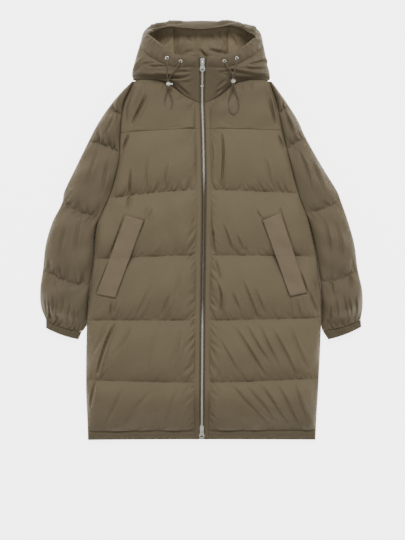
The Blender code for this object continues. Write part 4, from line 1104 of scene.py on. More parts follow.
@dataclass
class Front:
    """A front below its yoke: five quilted baffles, the flat zip strip and the turned hem."""

    side: Side
    fine: int = 1
    step: float = 0.0040
    columns: int = 68
    strip_columns: int = 4
    hem_rows: int = 8
    hem_swell: float = 0.0030
    hem_groove: float = 0.0034
    welt_groove: float = 0.0028
    welt_reach: float = 0.016
    puckered: Point = (0.8, 0.5, 0.45, 0.4, 0.3)
    above: Point = (0.0105, 0.034, 0.0042)  # pitch, reach and depth of the puckers
    below: Point = (0.0105, 0.020, 0.0026)
    lean: float = 0.35

    def rows(self) -> tuple[Field, Field, Field, Field]:
        """Where the rows lie.

        Returns:
            Each row's height at the zip and at the side, its share of its baffle, and the baffle.
        """
        at_zip, at_side, shares, numbers = [], [], [], []
        column = self.side.pick(1, 2)
        for number, (upper, lower) in enumerate(zip(FORM.seams, FORM.seams[1:])):
            last = number == len(FORM.seams) - 2
            count = self.hem_rows if last else round((upper[0] - lower[0]) / self.step)
            share = crowded(count + 1)[: None if last else -1]
            at_zip.append(upper[0] + (lower[0] - upper[0]) * share)
            at_side.append(upper[column] + (lower[column] - upper[column]) * share)
            shares.append(share)
            numbers.append(np.full(len(share), number))
        return tuple(np.concatenate(part) for part in (at_zip, at_side, shares, numbers))

    def plan(self) -> tuple[Field, Field, Field, Field]:
        """Plan positions of the grid.

        Returns:
            X, Y, distance past the strip and distance from the side.
        """
        at_zip, at_side, _, _ = self.rows()
        sign = self.side.sign
        start = (FORM.zip_x(at_zip) + sign * FORM.strip_edge)[:, None]
        end = (FORM.side_x(self.side, at_side) - sign * GAP / 2)[:, None]
        count = self.strip_columns * self.fine
        strip = np.linspace(0.0, FORM.strip_width, count + 1)[None, :-1]
        span = np.abs(end - start)
        across = crowded((self.columns - 1) * self.fine + 1, 0.35)[None, :]
        rest = FORM.strip_width + (span - FORM.strip_width) * across
        run = np.concatenate([np.repeat(strip, len(start), 0), rest], 1)
        x = start + sign * run
        y = at_zip[:, None] + (at_side - at_zip)[:, None] * (run / span) ** FORM.seam_bow
        return x, y, run - FORM.strip_width, span - run

    def skins(self) -> Skins:
        """Both skins, with their creases."""
        _, at_side, shares, numbers = self.rows()
        x, y, past, from_side = self.plan()
        share = np.repeat(shares[:, None], x.shape[1], 1)
        number = np.repeat(numbers[:, None], x.shape[1], 1)
        hem = number >= len(FORM.seams) - 2
        edge = FORM.edge_lift(self.side, at_side)[:, None]
        swell = puff(share)
        swell += FORM.bridged(swell, share) * (number == 0)
        swell = swell * rounded(past, FORM.strip_slope)
        mid = FORM.mid_height(y)
        outer, inner = FORM.layer(swell, rounded(from_side, FORM.edge_round), edge,
                                  FORM.wall_at_edge(edge), FORM.crown, FORM.valley)
        band = FORM.edge + (FORM.hem_layer - FORM.edge) * rounded(from_side, 0.006)
        step = (FORM.valley - FORM.hem_layer) * (1 - share) ** 2
        arch = np.sin(np.pi * share)
        waves = rolling(x, y * 0.4, 77, 0.0009, 0.03) * arch
        band += (self.hem_swell * arch + step + waves) * rounded(from_side, 0.03)
        outer = np.where(hem, band, outer)
        inner = np.where(hem, GAP / 2 + 0.0002 * rounded(from_side, 0.01), inner)
        groove = self.hem_groove * np.exp(-(((y - y[numbers.argmax()][None, :]) / 0.0026) ** 2))
        outer = np.maximum(outer - groove * rounded(past, 0.006) * rounded(from_side, 0.01),
                           inner + 0.0008)
        strip = past < 1e-6
        top = FORM.strip_top(y)
        high = np.where(strip, top, mid + outer)
        low = np.where(strip, top - FORM.strip_wall, mid + inner)
        free = eased(0.0005, 0.006, past) * eased(0.0, 0.016, from_side) * ~hem
        y = y - np.where((number == 0) & (share == 0.0), GAP / 2, 0.0)
        sewn = (past < 1e-6) | hem | (share == 0.0) | (from_side < 1e-6)
        sewn[:, self.strip_columns * self.fine] = True
        return Skins(f"front_{self.side.value}_cloth", np.stack([x, y, high], -1),
                     np.stack([x, y, low], -1), free, sewn.astype(float), growth=0.042)

    def crease(self, skins: Skins, strength: float = 1.0) -> None:
        """Add this front's creases to its outer skin, at a share of their full height."""
        skins.crease(self.creases() * strength)

    def creases(self) -> Field:
        """The height that creases add to the front."""
        x, y, past, _ = self.plan()
        share, number = (np.repeat(row[:, None], x.shape[1], 1) for row in self.rows()[2:])
        added = total_lift(FRONT_FOLDS, x, y) * eased(0.0, 0.035, share) * eased(1.0, 0.975, share)
        added = added + rolling(x, y, 11, 0.0016, 0.10) * np.sqrt(puff(share))
        across = np.abs(x - FORM.zip_x(y))
        for seam in range(len(FORM.seams) - 2):
            tall = FORM.seams[seam][0] - FORM.seams[seam + 1][0]
            seed = 10 * seam + self.side.pick(0, 3)
            here = number == seam
            above = np.where(here, (1.0 - share) * tall, 1.0)
            below = np.where(here & (seam > 0), share * tall, 1.0)
            pull = self.puckered[seam]
            up = pulled(100 + seed, self.above, pull, -self.lean)
            down = pulled(300 + seed, self.below, pull, self.lean)
            added = added + up.lift(across, above) + down.lift(across, below)
        beside = Gathers(self.side.pick(500, 501), pitch=0.0125, reach=0.030, depth=0.0034,
                         lean=0.9, spread=0.4)
        quilted = number < len(FORM.seams) - 2
        side_pull = beside.lift(-y, np.where(quilted & (past > 0), past, 1.0))
        return added + side_pull * eased(-0.08, 0.06, -y) * 0.9 + side_pull * 0.25

    def press(self, skins: Skins) -> None:
        """Press the outer skin down under the pocket welt, with a groove round its edges."""
        welt = next(welt for welt in WELTS if welt.side is self.side)
        x, y = skins.plan()
        out = welt.outside(x, y)
        groove = self.welt_groove * eased(-0.006, 0.0005, out) * eased(0.006, 0.001, out)
        limit = welt.seat(x, y) - 2 * GAP - groove + 0.03 * eased(0.0015, self.welt_reach, out)
        floor = skins.inner[..., 2] + 0.0006
        pressed = np.maximum(np.minimum(skins.outer[..., 2], limit), floor)
        skins.outer[..., 2] = np.where(out < self.welt_reach, pressed, skins.outer[..., 2])

    def make(self, skins: Skins, wardrobe: Wardrobe) -> Piece:
        """Build and dress the front."""
        self.press(skins)
        piece = dress(skins.build(), wardrobe.shell, "shell", f"front_{self.side.value}")
        return piece


def front_surface(side: Side, x: Field, y: Field, bridge: float = 0.0) -> Field:
    """Height of a front without its creases.

    Args:
        side: which front.
        x: plan places.
        y: plan places.
        bridge: how much of a quilting seam's valley is bridged, from 0 to 1.

    Returns:
        The height at each place.
    """
    start = FORM.zip_x(y) + side.sign * FORM.strip_edge
    end = FORM.side_x(side, y) - side.sign * GAP / 2
    across = np.clip((x - start) / (end - start), 0.0, 1.0)
    heights = np.stack([FORM.seam_y(number, side, across) for number in range(len(FORM.seams))])
    number = np.clip((heights > y).sum(0) - 1, 0, len(FORM.seams) - 2)
    upper = np.take_along_axis(heights, number[None], 0)[0]
    lower = np.take_along_axis(heights, number[None] + 1, 0)[0]
    share = (upper - y) / (upper - lower)
    swell = puff(share)
    swell = swell + (1.0 - swell) * bridge
    swell = swell * rounded(np.abs(x - start) - FORM.strip_width, FORM.strip_slope)
    edge = FORM.edge_lift(side, y)
    outer, _ = FORM.layer(swell, rounded(np.abs(end - x), FORM.edge_round), edge,
                          FORM.wall_at_edge(edge), FORM.crown, FORM.valley)
    return FORM.mid_height(y) + outer


@dataclass
class Welt:
    """A slanted pocket welt, by its four plan corners: smooth, flat and doubled over."""

    side: Side
    top_in: Point
    top_out: Point
    bottom_in: Point
    bottom_out: Point
    wall: float = 0.0034
    round_edge: float = 0.0035
    bridge: float = 0.9
    rows: int = 84
    columns: int = 22

    def corners(self) -> list[Field]:
        """Its plan corners, in order round it."""
        return [np.array(spot) for spot in
                (self.top_in, self.top_out, self.bottom_out, self.bottom_in)]

    def spots(self) -> tuple[Field, Field, Field, Field]:
        """Plan grid of the welt.

        Returns:
            X, Y, and the distances from the nearest long edge and from the nearest end.
        """
        top_in, top_out, bottom_out, bottom_in = self.corners()
        width = np.linalg.norm(top_out - top_in)
        length = np.linalg.norm(bottom_in - top_in)
        u = crowded(self.columns, 0.6)[None, :, None]
        v = crowded(self.rows, 0.3)[:, None, None]
        top = top_in + (top_out - top_in) * u
        bottom = bottom_in + (bottom_out - bottom_in) * u
        spot = top + (bottom - top) * v
        u, v = u[..., 0] + 0 * v[..., 0], v[..., 0] + 0 * u[..., 0]
        return (spot[..., 0], spot[..., 1], np.minimum(u, 1 - u) * width,
                np.minimum(v, 1 - v) * length)

    def outside(self, x: Field, y: Field) -> Field:
        """How far places lie outside the welt's plan, negative inside it.

        Args:
            x: plan places.
            y: plan places.

        Returns:
            The distance past the nearest edge line.
        """
        corners = self.corners()
        centre = sum(corners) / 4
        past = []
        for start, end in zip(corners, corners[1:] + corners[:1]):
            normal = np.array((end[1] - start[1], start[0] - end[0])) / np.linalg.norm(end - start)
            normal = -normal if (centre - start) @ normal > 0 else normal
            past.append((x - start[0]) * normal[0] + (y - start[1]) * normal[1])
        return np.max(past, 0)

    def seat(self, x: Field, y: Field) -> Field:
        """Height of the welt's underside."""
        return front_surface(self.side, x, y, self.bridge) + GAP

    def make(self, wardrobe: Wardrobe) -> Piece:
        """Build and dress the welt."""
        x, y, from_edge, from_end = self.spots()
        low = self.seat(x, y)
        crown = rounded(np.minimum(from_edge, from_end), self.round_edge)
        waves = rolling(x, y, self.side.pick(8, 7), 0.0010, 0.05)
        high = low + self.wall * (0.3 + 0.7 * crown) + (waves + 0.0004) * crown
        name = f"welt_{self.side.value}"
        piece = closed_wall(f"{name}_cloth", np.stack([x, y, high], -1), np.stack([x, y, low], -1))
        dress(piece, wardrobe.welt, "shell", name)
        return piece


WELTS = (
    Welt(Side.RIGHT, (-0.158, 0.026), (-0.208, 0.042), (-0.236, -0.185), (-0.288, -0.174)),
    Welt(Side.LEFT, (0.167, 0.027), (0.217, 0.048), (0.242, -0.181), (0.289, -0.171)),
)


@dataclass(frozen=True)
class HoodLine:
    """A line from the hood's face opening back to its neck seam, by points of its skin."""

    rim: Point
    seam: Point
    upper: Point
    lower: Point
    neck: Point


HOOD_LINES = {
    Side.RIGHT: (
        HoodLine((-.0095, .4725, .0840), (-.0060, .446, .0745), (-.0052, .419, .0640),
                 (-.0054, .385, .0520), (-.0055, .351, .0423)),
        HoodLine((-.058, .476, .082), (-.059, .445, .072), (-.057, .424, .064),
                 (-.053, .399, .053), (-.046, .371, .041)),
        HoodLine((-.085, .487, .078), (-.094, .451, .069), (-.093, .434, .065),
                 (-.091, .419, .056), (-.087, .401, .040)),
        HoodLine((-.117, .513, .072), (-.137, .474, .060), (-.136, .450, .062),
                 (-.133, .428, .056), (-.130, .415, .040)),
        HoodLine((-.138, .530, .066), (-.163, .498, .048), (-.171, .468, .051),
                 (-.176, .436, .052), (-.170, .415, .040)),
        HoodLine((-.1455, .536, .060), (-.166, .522, .038), (-.181, .476, .028),
                 (-.192, .436, .028), (-.189, .4145, .029)),
        HoodLine((-.128, .546, .055), (-.151, .557, .030), (-.165, .500, .008),
                 (-.172, .440, .006), (-.165, .412, .014)),
        HoodLine((-.088, .558, .049), (-.084, .5765, .028), (-.084, .535, .000),
                 (-.084, .460, .000), (-.084, .404, .003)),
    ),
    Side.LEFT: (
        HoodLine((.0150, .4725, .0840), (.0115, .446, .0745), (.0100, .419, .0640),
                 (.0096, .385, .0520), (.0095, .351, .0423)),
        HoodLine((.062, .478, .082), (.060, .444, .072), (.058, .424, .064),
                 (.055, .399, .053), (.050, .371, .041)),
        HoodLine((.092, .486, .078), (.097, .453, .069), (.096, .434, .065),
                 (.094, .421, .056), (.092, .404, .040)),
        HoodLine((.122, .507, .072), (.137, .476, .060), (.136, .450, .062),
                 (.133, .428, .056), (.130, .415, .040)),
        HoodLine((.142, .523, .066), (.162, .498, .048), (.169, .468, .051),
                 (.173, .436, .052), (.169, .415, .040)),
        HoodLine((.149, .530, .060), (.168, .520, .038), (.178, .476, .028),
                 (.187, .436, .028), (.187, .4145, .029)),
        HoodLine((.130, .543, .055), (.153, .556, .030), (.163, .500, .008),
                 (.170, .440, .006), (.165, .412, .014)),
        HoodLine((.084, .562, .049), (.082, .5765, .028), (.080, .535, .000),
                 (.080, .460, .000), (.080, .404, .003)),
    ),
}
HOOD_CENTRE = HoodLine((.005, .553, .046), (.000, .5795, .028), (.000, .536, .000),
                       (.000, .460, .000), (.000, .402, .003))
HOOD_CROWN = (HOOD_LINES[Side.RIGHT][-1], HOOD_CENTRE, HOOD_LINES[Side.LEFT][-1])


def hood_skin(lines: Sequence[HoodLine], across: Field, down: Field) -> Field:
    """Points of the hood's outer skin.

    Args:
        lines: the panel's lines.
        across: places among the lines, one for each column.
        down: shares of the way from the casing's seam (0) to the neck (1), one for each row.

    Returns:
        A grid of points, row by row.
    """
    columns = np.stack([
        Track((0.0, 0.33, 0.67, 1.0), (line.seam, line.upper, line.lower, line.neck))(down)
        for line in lines])
    points = Track(range(len(lines)), columns)(across).transpose(1, 0, 2)
    points[..., 2] = np.maximum(points[..., 2], 0.0)
    return points


@dataclass
class Yoke:
    """A plain yoke, from its unquilted seam up to the hood's neck seam."""

    side: Side
    fine: int = 1
    rows: int = 38
    columns: int = 46
    strip_columns: int = 4
    across: Point = (0.0, 0.28, 0.5, 1.0, 1.5, 2.0, 2.5, 3.0, 3.5, 4.0, 5.0)
    parts: Point = (0.0, 0.055, 0.12, 0.24, 0.36, 0.47, 0.59, 0.70, 0.82, 0.92, 1.0)
    tall: float = 0.13
    at_neck: Point = (0.012, 0.030, 0.0030)  # pitch, reach and depth of the puckers
    lean: float = 0.2

    def neck(self, part: Field) -> Field:
        """Points of the neck seam, by the share of the way from the zip to the shoulder."""
        sign = self.side.sign
        across = np.interp(part, self.parts, self.across)
        seam = hood_skin(HOOD_LINES[self.side], np.minimum(across, 4.0), np.array([1.0]))[0, :, :2]
        seam = seam - np.array((0.0, GAP * 1.5))
        tip = np.array((FORM.side_x(self.side, FORM.shoulder_y) - sign * GAP / 2,
                        FORM.shoulder_y - GAP))
        return seam + (tip - seam) * np.clip(across - 4.0, 0.0, 1.0)[:, None]

    def skins(self) -> Skins:
        """Both skins, with their creases."""
        sign = self.side.sign
        seam_zip, right, left = FORM.seams[0]
        seam_side = self.side.pick(right, left)
        start = float(FORM.zip_x(seam_zip)) + sign * FORM.strip_edge
        end = float(FORM.side_x(self.side, seam_side)) - sign * GAP / 2
        count = self.strip_columns * self.fine
        strip = np.linspace(0.0, self.parts[1], count + 1)[:-1]
        rest = crowded((self.columns - 1) * self.fine + 1, 0.35)
        part = np.concatenate([strip, self.parts[1] + (1 - self.parts[1]) * rest])
        share = crowded(self.rows)[::-1][:, None]
        low = np.stack([start + (end - start) * part,
                        seam_zip + (seam_side - seam_zip) * part**FORM.seam_bow + GAP / 2], -1)
        neck = self.neck(part)
        spot = low[None] + (neck - low)[None] * share[..., None]
        side_y = seam_side + (FORM.shoulder_y - seam_side) * share
        true_side = FORM.side_x(self.side, side_y) - sign * GAP / 2
        lean_side = true_side - (end + (neck[-1, 0] - end) * share)
        top_y = neck[0, 1]
        true_zip = FORM.zip_x(seam_zip + (top_y - seam_zip) * share) + sign * FORM.strip_edge
        lean_zip = true_zip - (start + (neck[0, 0] - start) * share)
        lean = lean_side * part**2 + lean_zip * (1 - part) ** 2
        x = spot[..., 0] + np.where(share < 1.0, lean, 0)
        y = spot[..., 1]
        fixed = x[:, :1] + sign * np.linspace(0.0, FORM.strip_width, count + 1)[None, :]
        shift = fixed[:, -1:] - x[:, count:count + 1]
        x[:, count:] += shift * eased(0.35, 0.055, part[count:])
        x[:, :count + 1] = fixed
        past = np.abs(x - FORM.zip_x(y)) - FORM.strip_edge - FORM.strip_width
        from_side = np.abs(true_side - x)
        swell = puff(share) * 0.75
        swell += FORM.bridged(swell, share)
        swell = swell * rounded(past, FORM.strip_slope)
        off = FORM.layer(swell, rounded(from_side, FORM.edge_round), FORM.seam, FORM.seam_wall,
                         FORM.crown, FORM.valley)
        high, below = FORM.mid + off[0], FORM.mid + off[1]
        column = np.arange(len(part))[None, :]
        top = FORM.strip_top(np.minimum(y, top_y))
        high = np.where(column <= count, top, high)
        below = np.where(column <= count, top - FORM.strip_wall, below)
        free = eased(0.001, 0.008, past) * eased(0.0, 0.016, from_side)
        free = free * eased(0.0, 0.05, share) * eased(1.0, 0.93, share)
        sewn = (column <= count) | (column == len(part) - 1) | (share == 0.0) | (share == 1.0)
        return Skins(f"yoke_{self.side.value}_cloth", np.stack([x, y, high], -1),
                     np.stack([x, y, below], -1), free, sewn.astype(float), growth=0.02)

    def crease(self, skins: Skins, strength: float = 1.0) -> None:
        """Add this yoke's creases to its outer skin, at a share of their full height."""
        x, y = skins.plan()
        lift = total_lift(FRONT_FOLDS, x, y) + rolling(x, y, 21, 0.0012, 0.09)
        out = (1.0 - crowded(self.rows)[::-1][:, None]) * self.tall + 0 * x
        gathers = Gathers(700 + self.side.sign, *self.at_neck, self.lean)
        lift += gathers.lift(np.abs(x), out)
        skins.crease(lift * strength)

    def make(self, skins: Skins, wardrobe: Wardrobe) -> Piece:
        """Build and dress the yoke."""
        piece = dress(skins.build(), wardrobe.shell, "shell", f"yoke_{self.side.value}")
        return piece


@dataclass
class Back:
    """The whole back, quilted like the fronts, and flat where it rests."""

    step: float = 0.0062
    columns: int = 92
    least_wall: float = 0.0015
    tall: float = 0.16
    above: Point = (0.016, 0.038, 0.0040)  # pitch, reach and depth of the puckers
    below: Point = (0.017, 0.026, 0.0030)
    lean: float = 0.1
    streaks: tuple[tuple, ...] = (  # three heights, curl, and each crease's start and lean
        (0.20, 0.15, 0.08, 2, ((-0.15, 0.02), (0.12, -0.018), (0.19, 0.012))),
        (-0.27, -0.33, -0.39, 1.6,
         ((-0.22, 0.03), (-0.09, -0.02), (0.05, 0.03), (0.17, 0.02), (0.25, -0.02))),
    )

    def levels(self) -> list[tuple[float, float, float, float, str]]:
        """Rows of the back.

        Returns:
            For each: heights at the centre, right and left, share of the baffle, and its kind.
        """
        found = []
        centre, right, left = FORM.seams[0]
        for share in crowded(24)[:0:-1]:
            found.append((centre + (FORM.back_neck_y - centre) * share,
                          right + (FORM.shoulder_y - right) * share,
                          left + (FORM.shoulder_y - left) * share, share, "yoke"))
        for number in range(len(FORM.seams) - 1):
            upper, lower = np.array(FORM.seams[number]), np.array(FORM.seams[number + 1])
            last = number == len(FORM.seams) - 2
            count = 6 if last else round((upper[0] - lower[0]) / self.step)
            for share in crowded(count + 1)[: None if last else -1]:
                heights = upper + (lower - upper) * share
                found.append((*heights, share, "hem" if last else "baffle"))
        return found

    def skins(self) -> tuple[Field, Field]:
        """Outer and inner skins.

        Returns:
            The grid that faces down, and the grid inside.
        """
        centre, right, left, share, kinds = zip(*self.levels())
        centre, right, left, share = (np.array(row)[:, None]
                                      for row in (centre, right, left, share))
        kind = np.array(kinds)[:, None]
        part = crowded(self.columns, 0.5)[None, :]
        ends = (FORM.side_x(Side.RIGHT, right) + GAP / 2, FORM.side_x(Side.LEFT, left) - GAP / 2)
        x = ends[0] + (ends[1] - ends[0]) * part
        side_y = np.where(part <= 0.5, right, left)
        y = centre + (side_y - centre) * np.abs(2 * part - 1) ** FORM.seam_bow
        mid = FORM.mid_height(y)
        from_side = np.minimum(x - ends[0], ends[1] - x)
        edge = np.where(part <= 0.5, FORM.edge_lift(Side.RIGHT, right),
                        FORM.edge_lift(Side.LEFT, left))
        wall = FORM.wall_at_edge(edge)
        outer, inner = FORM.layer(puff(share), rounded(from_side, FORM.edge_round), edge, wall,
                                  FORM.back_crown, FORM.seam + 0.010)
        reach = FORM.seam + (FORM.mid - 0.002 - FORM.seam) * rounded(from_side, 0.10)
        outer = np.where(kind == "yoke", np.maximum(outer, reach), outer)
        inner = np.minimum(inner, outer - np.minimum(FORM.seam_wall, outer * 0.8))
        hem_out = FORM.edge + (mid - FORM.edge) * rounded(from_side, 0.010)
        outer = np.where(kind == "hem", hem_out, outer)
        hem_in = GAP / 2 + (FORM.layer_gap - GAP / 2) * rounded(from_side, 0.010)
        inner = np.where(kind == "hem", hem_in, inner)
        inner = np.where(from_side < 1e-9, edge - wall, inner)
        outer = np.minimum(outer, mid)
        inner = np.minimum(inner, outer - self.least_wall)
        lift = self.creases(x, y, share, kind, from_side)
        under = np.minimum(mid - outer + lift, mid - inner - self.least_wall)
        under = np.where(from_side < 1e-9, mid - outer, np.maximum(under, 0.0))
        return np.stack([x, y, under], -1), np.stack([x, y, mid - inner], -1)

    def creases(self, x: Field, y: Field, share: Field, kind: Field, from_side: Field) -> Field:
        """How far creases lift the cloth off the surface under it.

        Args:
            x: plan places.
            y: plan places.
            share: how far down its baffle each place lies.
            kind: what each row is.
            from_side: distance from the side seam.

        Returns:
            The lift.
        """
        added = np.zeros_like(x)
        for number, (upper, lower) in enumerate(zip(FORM.seams[:-2], FORM.seams[1:-1])):
            here = (kind == "baffle") & (y < upper[0] + 0.02) & (y > lower[0] - 0.02)
            above = np.where(here, (1.0 - share) * self.tall, 1.0)
            below = np.where(here, share * self.tall, 1.0)
            added += Gathers(900 + number, *self.above, self.lean, lip=0.0).lift(x, above)
            added += Gathers(950 + number, *self.below, self.lean, lip=0.0).lift(x, below)
        slow = rolling(x, y, 31, 0.0012, 0.13)
        high, low = (total_lift([
            Fold(((at, top), (at + lean, middle), (at + curl * lean, end)), 0.004, 0.006, 0.0)
            for at, lean in starts], x, y) for top, middle, end, curl, starts in self.streaks)
        free = eased(0.0, 0.02, from_side) * (kind != "hem")
        return (np.maximum(slow, 0.0) - added - high - low) * free

    def make(self, wardrobe: Wardrobe) -> Piece:
        """Build and dress the back."""
        piece = dress(closed_wall("back_cloth", *self.skins()), wardrobe.shell, "shell", "back")
        return piece


# Sleeves


SLEEVE_FOLDS = folds(
    # Above the cuffs, and down the fronts of the arms.
    (32, 22, 50, (-428, -186), (-427, -238)),
    (34, 22, 50, (-418, -190), (-419, -238)),
    (36, 22, 50, (-407, -176), (-408, -230)),
    (34, 22, 50, (-397, -200), (-400, -238), (-388, -228)),
    (36, 22, 50, (-380, -180), (-384, -226)),
    (34, 22, 50, (-362, -196), (-366, -244)),
    (30, 22, 50, (-346, -210), (-352, -252)),
    (32, 22, 50, (352, -204), (358, -250)),
    (30, 22, 50, (364, -246), (376, -268)),
    (34, 22, 50, (370, -184), (376, -236)),
    (36, 22, 50, (391, -178), (396, -204), (402, -236)),
    (34, 22, 50, (404, -184), (414, -232)),
    (32, 22, 50, (424, -180), (428, -230)),
    (36, 42, 50, (-372, 20), (-386, -36), (-392, -92)),
    (32, 43, 50, (-332, 40), (-344, -20), (-350, -70)),
    (34, 40, 50, (368, 26), (382, -32), (388, -88)),
    (36, 40, 50, (336, 30), (350, -30), (352, -80)),
    (36, 40, 50, (-286, 220), (-302, 170), (-320, 112)),
    (38, 39, 50, (-256, 196), (-268, 140), (-276, 90)),
    (36, 40, 50, (266, 222), (288, 166), (300, 112)),
    (30, 43, 50, (300, 196), (324, 140), (338, 100)),
    (32, 36, 50, (-236, 326), (-252, 288), (-270, 256)),
    (46, 38, 50, (226, 330), (240, 296), (252, 262)),
    (26, 36, 50, (-400, -120), (-404, -160)),
    (30, 36, 50, (356, -128), (360, -176)),
    (26, 36, 50, (408, -122), (412, -166)),
)


@dataclass
class Sleeve:
    """A padded sleeve with four quilting seams, sewn into the armhole and free below it."""

    side: Side
    line: tuple[Point, ...] = (  # seams passed, then the outer line: right x, y, left x, y
        (0.00, -0.1930, 0.4095, 0.1940, 0.4095), (0.50, -0.2260, 0.3760, 0.2170, 0.3780),
        (1.00, -0.2570, 0.3380, 0.2400, 0.3450), (1.50, -0.2870, 0.2930, 0.2660, 0.3030),
        (2.00, -0.3110, 0.2470, 0.2880, 0.2550), (2.40, -0.3440, 0.1800, 0.3280, 0.1840),
        (2.85, -0.3790, 0.1060, 0.3750, 0.1070), (3.00, -0.3840, 0.0780, 0.3830, 0.0860),
        (3.35, -0.4110, 0.0240, 0.4040, 0.0260), (3.70, -0.4300, -0.0400, 0.4220, -0.0400),
        (4.00, -0.4370, -0.1050, 0.4310, -0.1070), (4.35, -0.4452, -0.1600, 0.4430, -0.1600),
        (4.75, -0.4440, -0.2110, 0.4462, -0.2090), (5.00, -0.4310, -0.2460, 0.4410, -0.2450),
    )
    sags: Point = (0.0, 0.0, -0.003, 0.008, 0.011, 0.006)
    clear: float = 0.0015
    wall: float = 0.009
    seam_lift: float = 0.012
    end_mid: float = 0.010
    end_crown: float = 0.0085
    rows_per_baffle: int = 31
    half_around: int = 46
    fine: int = 1
    puckered: Point = (0.85, 0.45)
    above: Point = (0.0105, 0.036, 0.0060)  # pitch, reach and depth of the puckers
    below: Point = (0.0115, 0.026, 0.0046)
    at_cuff: Point = (0.0085, 0.046, 0.0044)

    @property
    def around(self) -> int:
        """Columns over the top."""
        return (self.half_around - 1) * self.fine + 1

    def inner_end(self) -> Point:
        """The inner end of the sleeve's last ring."""
        return self.side.pick((-0.331, -0.278), (0.334, -0.275))

    def outer_line(self) -> list[Point]:
        """The plan points of this side's outer line."""
        column = self.side.pick(1, 3)
        return [row[column:column + 2] for row in self.line]

    def stations(self) -> tuple[Field, Field, Field]:
        """Rings down the sleeve.

        Returns:
            Seams passed, the inner end's height, and how far each ring is sewn to the armhole.
        """
        heights = FORM.armhole(self.side)
        loose_seam = self.side.pick(-0.151, -0.140)
        at = np.concatenate([number + crowded(self.rows_per_baffle + 1, 0.55)[:-1]
                             for number in range(5)] + [[5.0]])
        under = 3.0 + (heights[3] - heights[4]) / (heights[3] - loose_seam)
        at = np.sort(np.append(at, under))
        inner_y = np.interp(at, range(6), (*heights[:4], loose_seam, self.inner_end()[1]))
        sewn = 1.0 - np.clip((at - 3.0) / (under - 3.0), 0, 1)
        return at[:, None], inner_y[:, None], sewn[:, None]

    def skins(self) -> Skins:
        """Both skins as rings, with their creases."""
        sign = self.side.sign
        at, inner_y, sewn = self.stations()
        free = sewn <= 0.0
        gap = GAP / 2 + (self.clear - GAP / 2) * (1.0 - sewn)
        start = np.concatenate([FORM.side_x(self.side, inner_y) + sign * gap, inner_y], 1)
        start += (np.array(self.inner_end()) - start) * eased(4.82, 5.0, at)
        end = Track([row[0] for row in self.line], self.outer_line())(at[:, 0])
        across = end - start
        width = np.linalg.norm(across, axis=1, keepdims=True)
        normal = np.stack([across[:, 1], -across[:, 0]], 1) / width * sign
        sag = Track(range(len(self.sags)), self.sags)(at)
        swell = puff(at - np.floor(at))
        ends = eased(4.6, 5.0, at)
        top = self.seam_lift + (FORM.crown - self.seam_lift) * swell
        top = top + (self.end_crown - top) * ends
        mid = FORM.mid + (self.end_mid - FORM.mid) * eased(4.0, 5.0, at)
        lift = FORM.seam * sewn
        radius = np.minimum(FORM.edge_round, 0.45 * width)
        part = crowded(self.around, 0.75)[None, :]
        high = lift + (top - lift) * rounded(part * width, radius)
        high = high * rounded((1 - part) * width, radius)
        inset = np.minimum(self.wall, 0.3 * width)
        inside = (0.0013 + 0.0057 * (1 - swell)) * (1 - ends) + 0.003 * ends
        hold = FORM.seam - FORM.seam_wall
        room = inside + (hold - inside) * np.maximum(0.0, 1.0 - part / 0.2) * sewn
        room = np.where((part == 1.0) | ((part == 0.0) & free), 0.0, room)
        room = np.minimum(room, high * 0.7)
        first = inset * (1.0 - sewn)
        place = (first + (width - first - inset) * part) / width

        def ring(share: Field, rise: Field) -> Field:
            """Points round each ring, over the top and back below."""
            droop = normal[:, None] * (sag * 4 * share * (1 - share))[..., None]
            plan = start[:, None] + across[:, None] * share[..., None] + droop
            upper = np.concatenate([plan, (mid + rise)[..., None]], -1)
            lower = np.concatenate([plan, np.maximum(mid - rise, 0.0)[..., None]], -1)
            return np.concatenate([upper, lower[:, -2::-1]], 1)

        outer = ring(part + 0 * width, high)
        inner = ring(place, room)
        from_end = np.minimum(np.minimum(part, 1 - part) * width, 0.03)
        from_end = np.concatenate([from_end, from_end[:, -2::-1]], 1)
        loose = eased(0.0, 0.014, from_end) * eased(5.0, 4.96, at)
        column = np.arange(outer.shape[1])[None, :]
        seams = np.abs(at - np.round(at)) < 1e-9
        edges = (column == 0) | (column == self.around - 1) | (column == outer.shape[1] - 1)
        return Skins(f"sleeve_{self.side.value}_cloth", outer, inner, loose,
                     (seams | edges).astype(float), growth=0.048)

    def crease(self, skins: Skins, strength: float = 1.0) -> None:
        """Add creases over the top and, upside down, below.

        Args:
            skins: the skins to crease.
            strength: how much of their full height the creases have.
        """
        at = self.stations()[0]
        steps = np.linalg.norm(np.diff(skins.outer[..., :2], axis=1), axis=-1)
        round_way = np.concatenate([np.zeros((len(at), 1)), np.cumsum(steps, 1)], 1)
        sign = -self.side.sign
        count = self.around
        seed = self.side.pick(40, 60)
        centre = skins.outer[:, count // 2, :2]
        knots = np.interp(range(6), at[:, 0], np.arange(len(at))).round().astype(int)
        lengths = [float(np.linalg.norm(centre[a] - centre[b])) for a, b in zip(knots, knots[1:])]
        lift = np.zeros_like(round_way)
        pull = self.side.pick(*self.puckered)
        for seam in range(1, 6):
            above = np.where((at <= seam) & (at > seam - 1), (seam - at) * lengths[seam - 1], 1.0)
            size, held = (self.at_cuff, 1.0) if seam == 5 else (self.above, pull)
            gathers = pulled(seed + seam, size, held, 0.1 * sign)
            lift += gathers.lift(round_way, above + 0 * round_way)
            if seam < 5:
                below = np.where((at > seam) & (at <= seam + 1), (at - seam) * lengths[seam], 1.0)
                gathers = pulled(seed + 10 + seam, self.below, pull, 0.0)
                lift += gathers.lift(round_way, below + 0 * round_way)
        x, y = skins.plan()
        share = at - np.floor(at)
        slow = rolling(x, y, seed, 0.0015, 0.085) * np.sqrt(puff(share))
        folds = total_lift(SLEEVE_FOLDS, x, y) * eased(0.0, 0.03, share) * eased(1.0, 0.975, share)
        lift = (lift + slow + folds) * strength
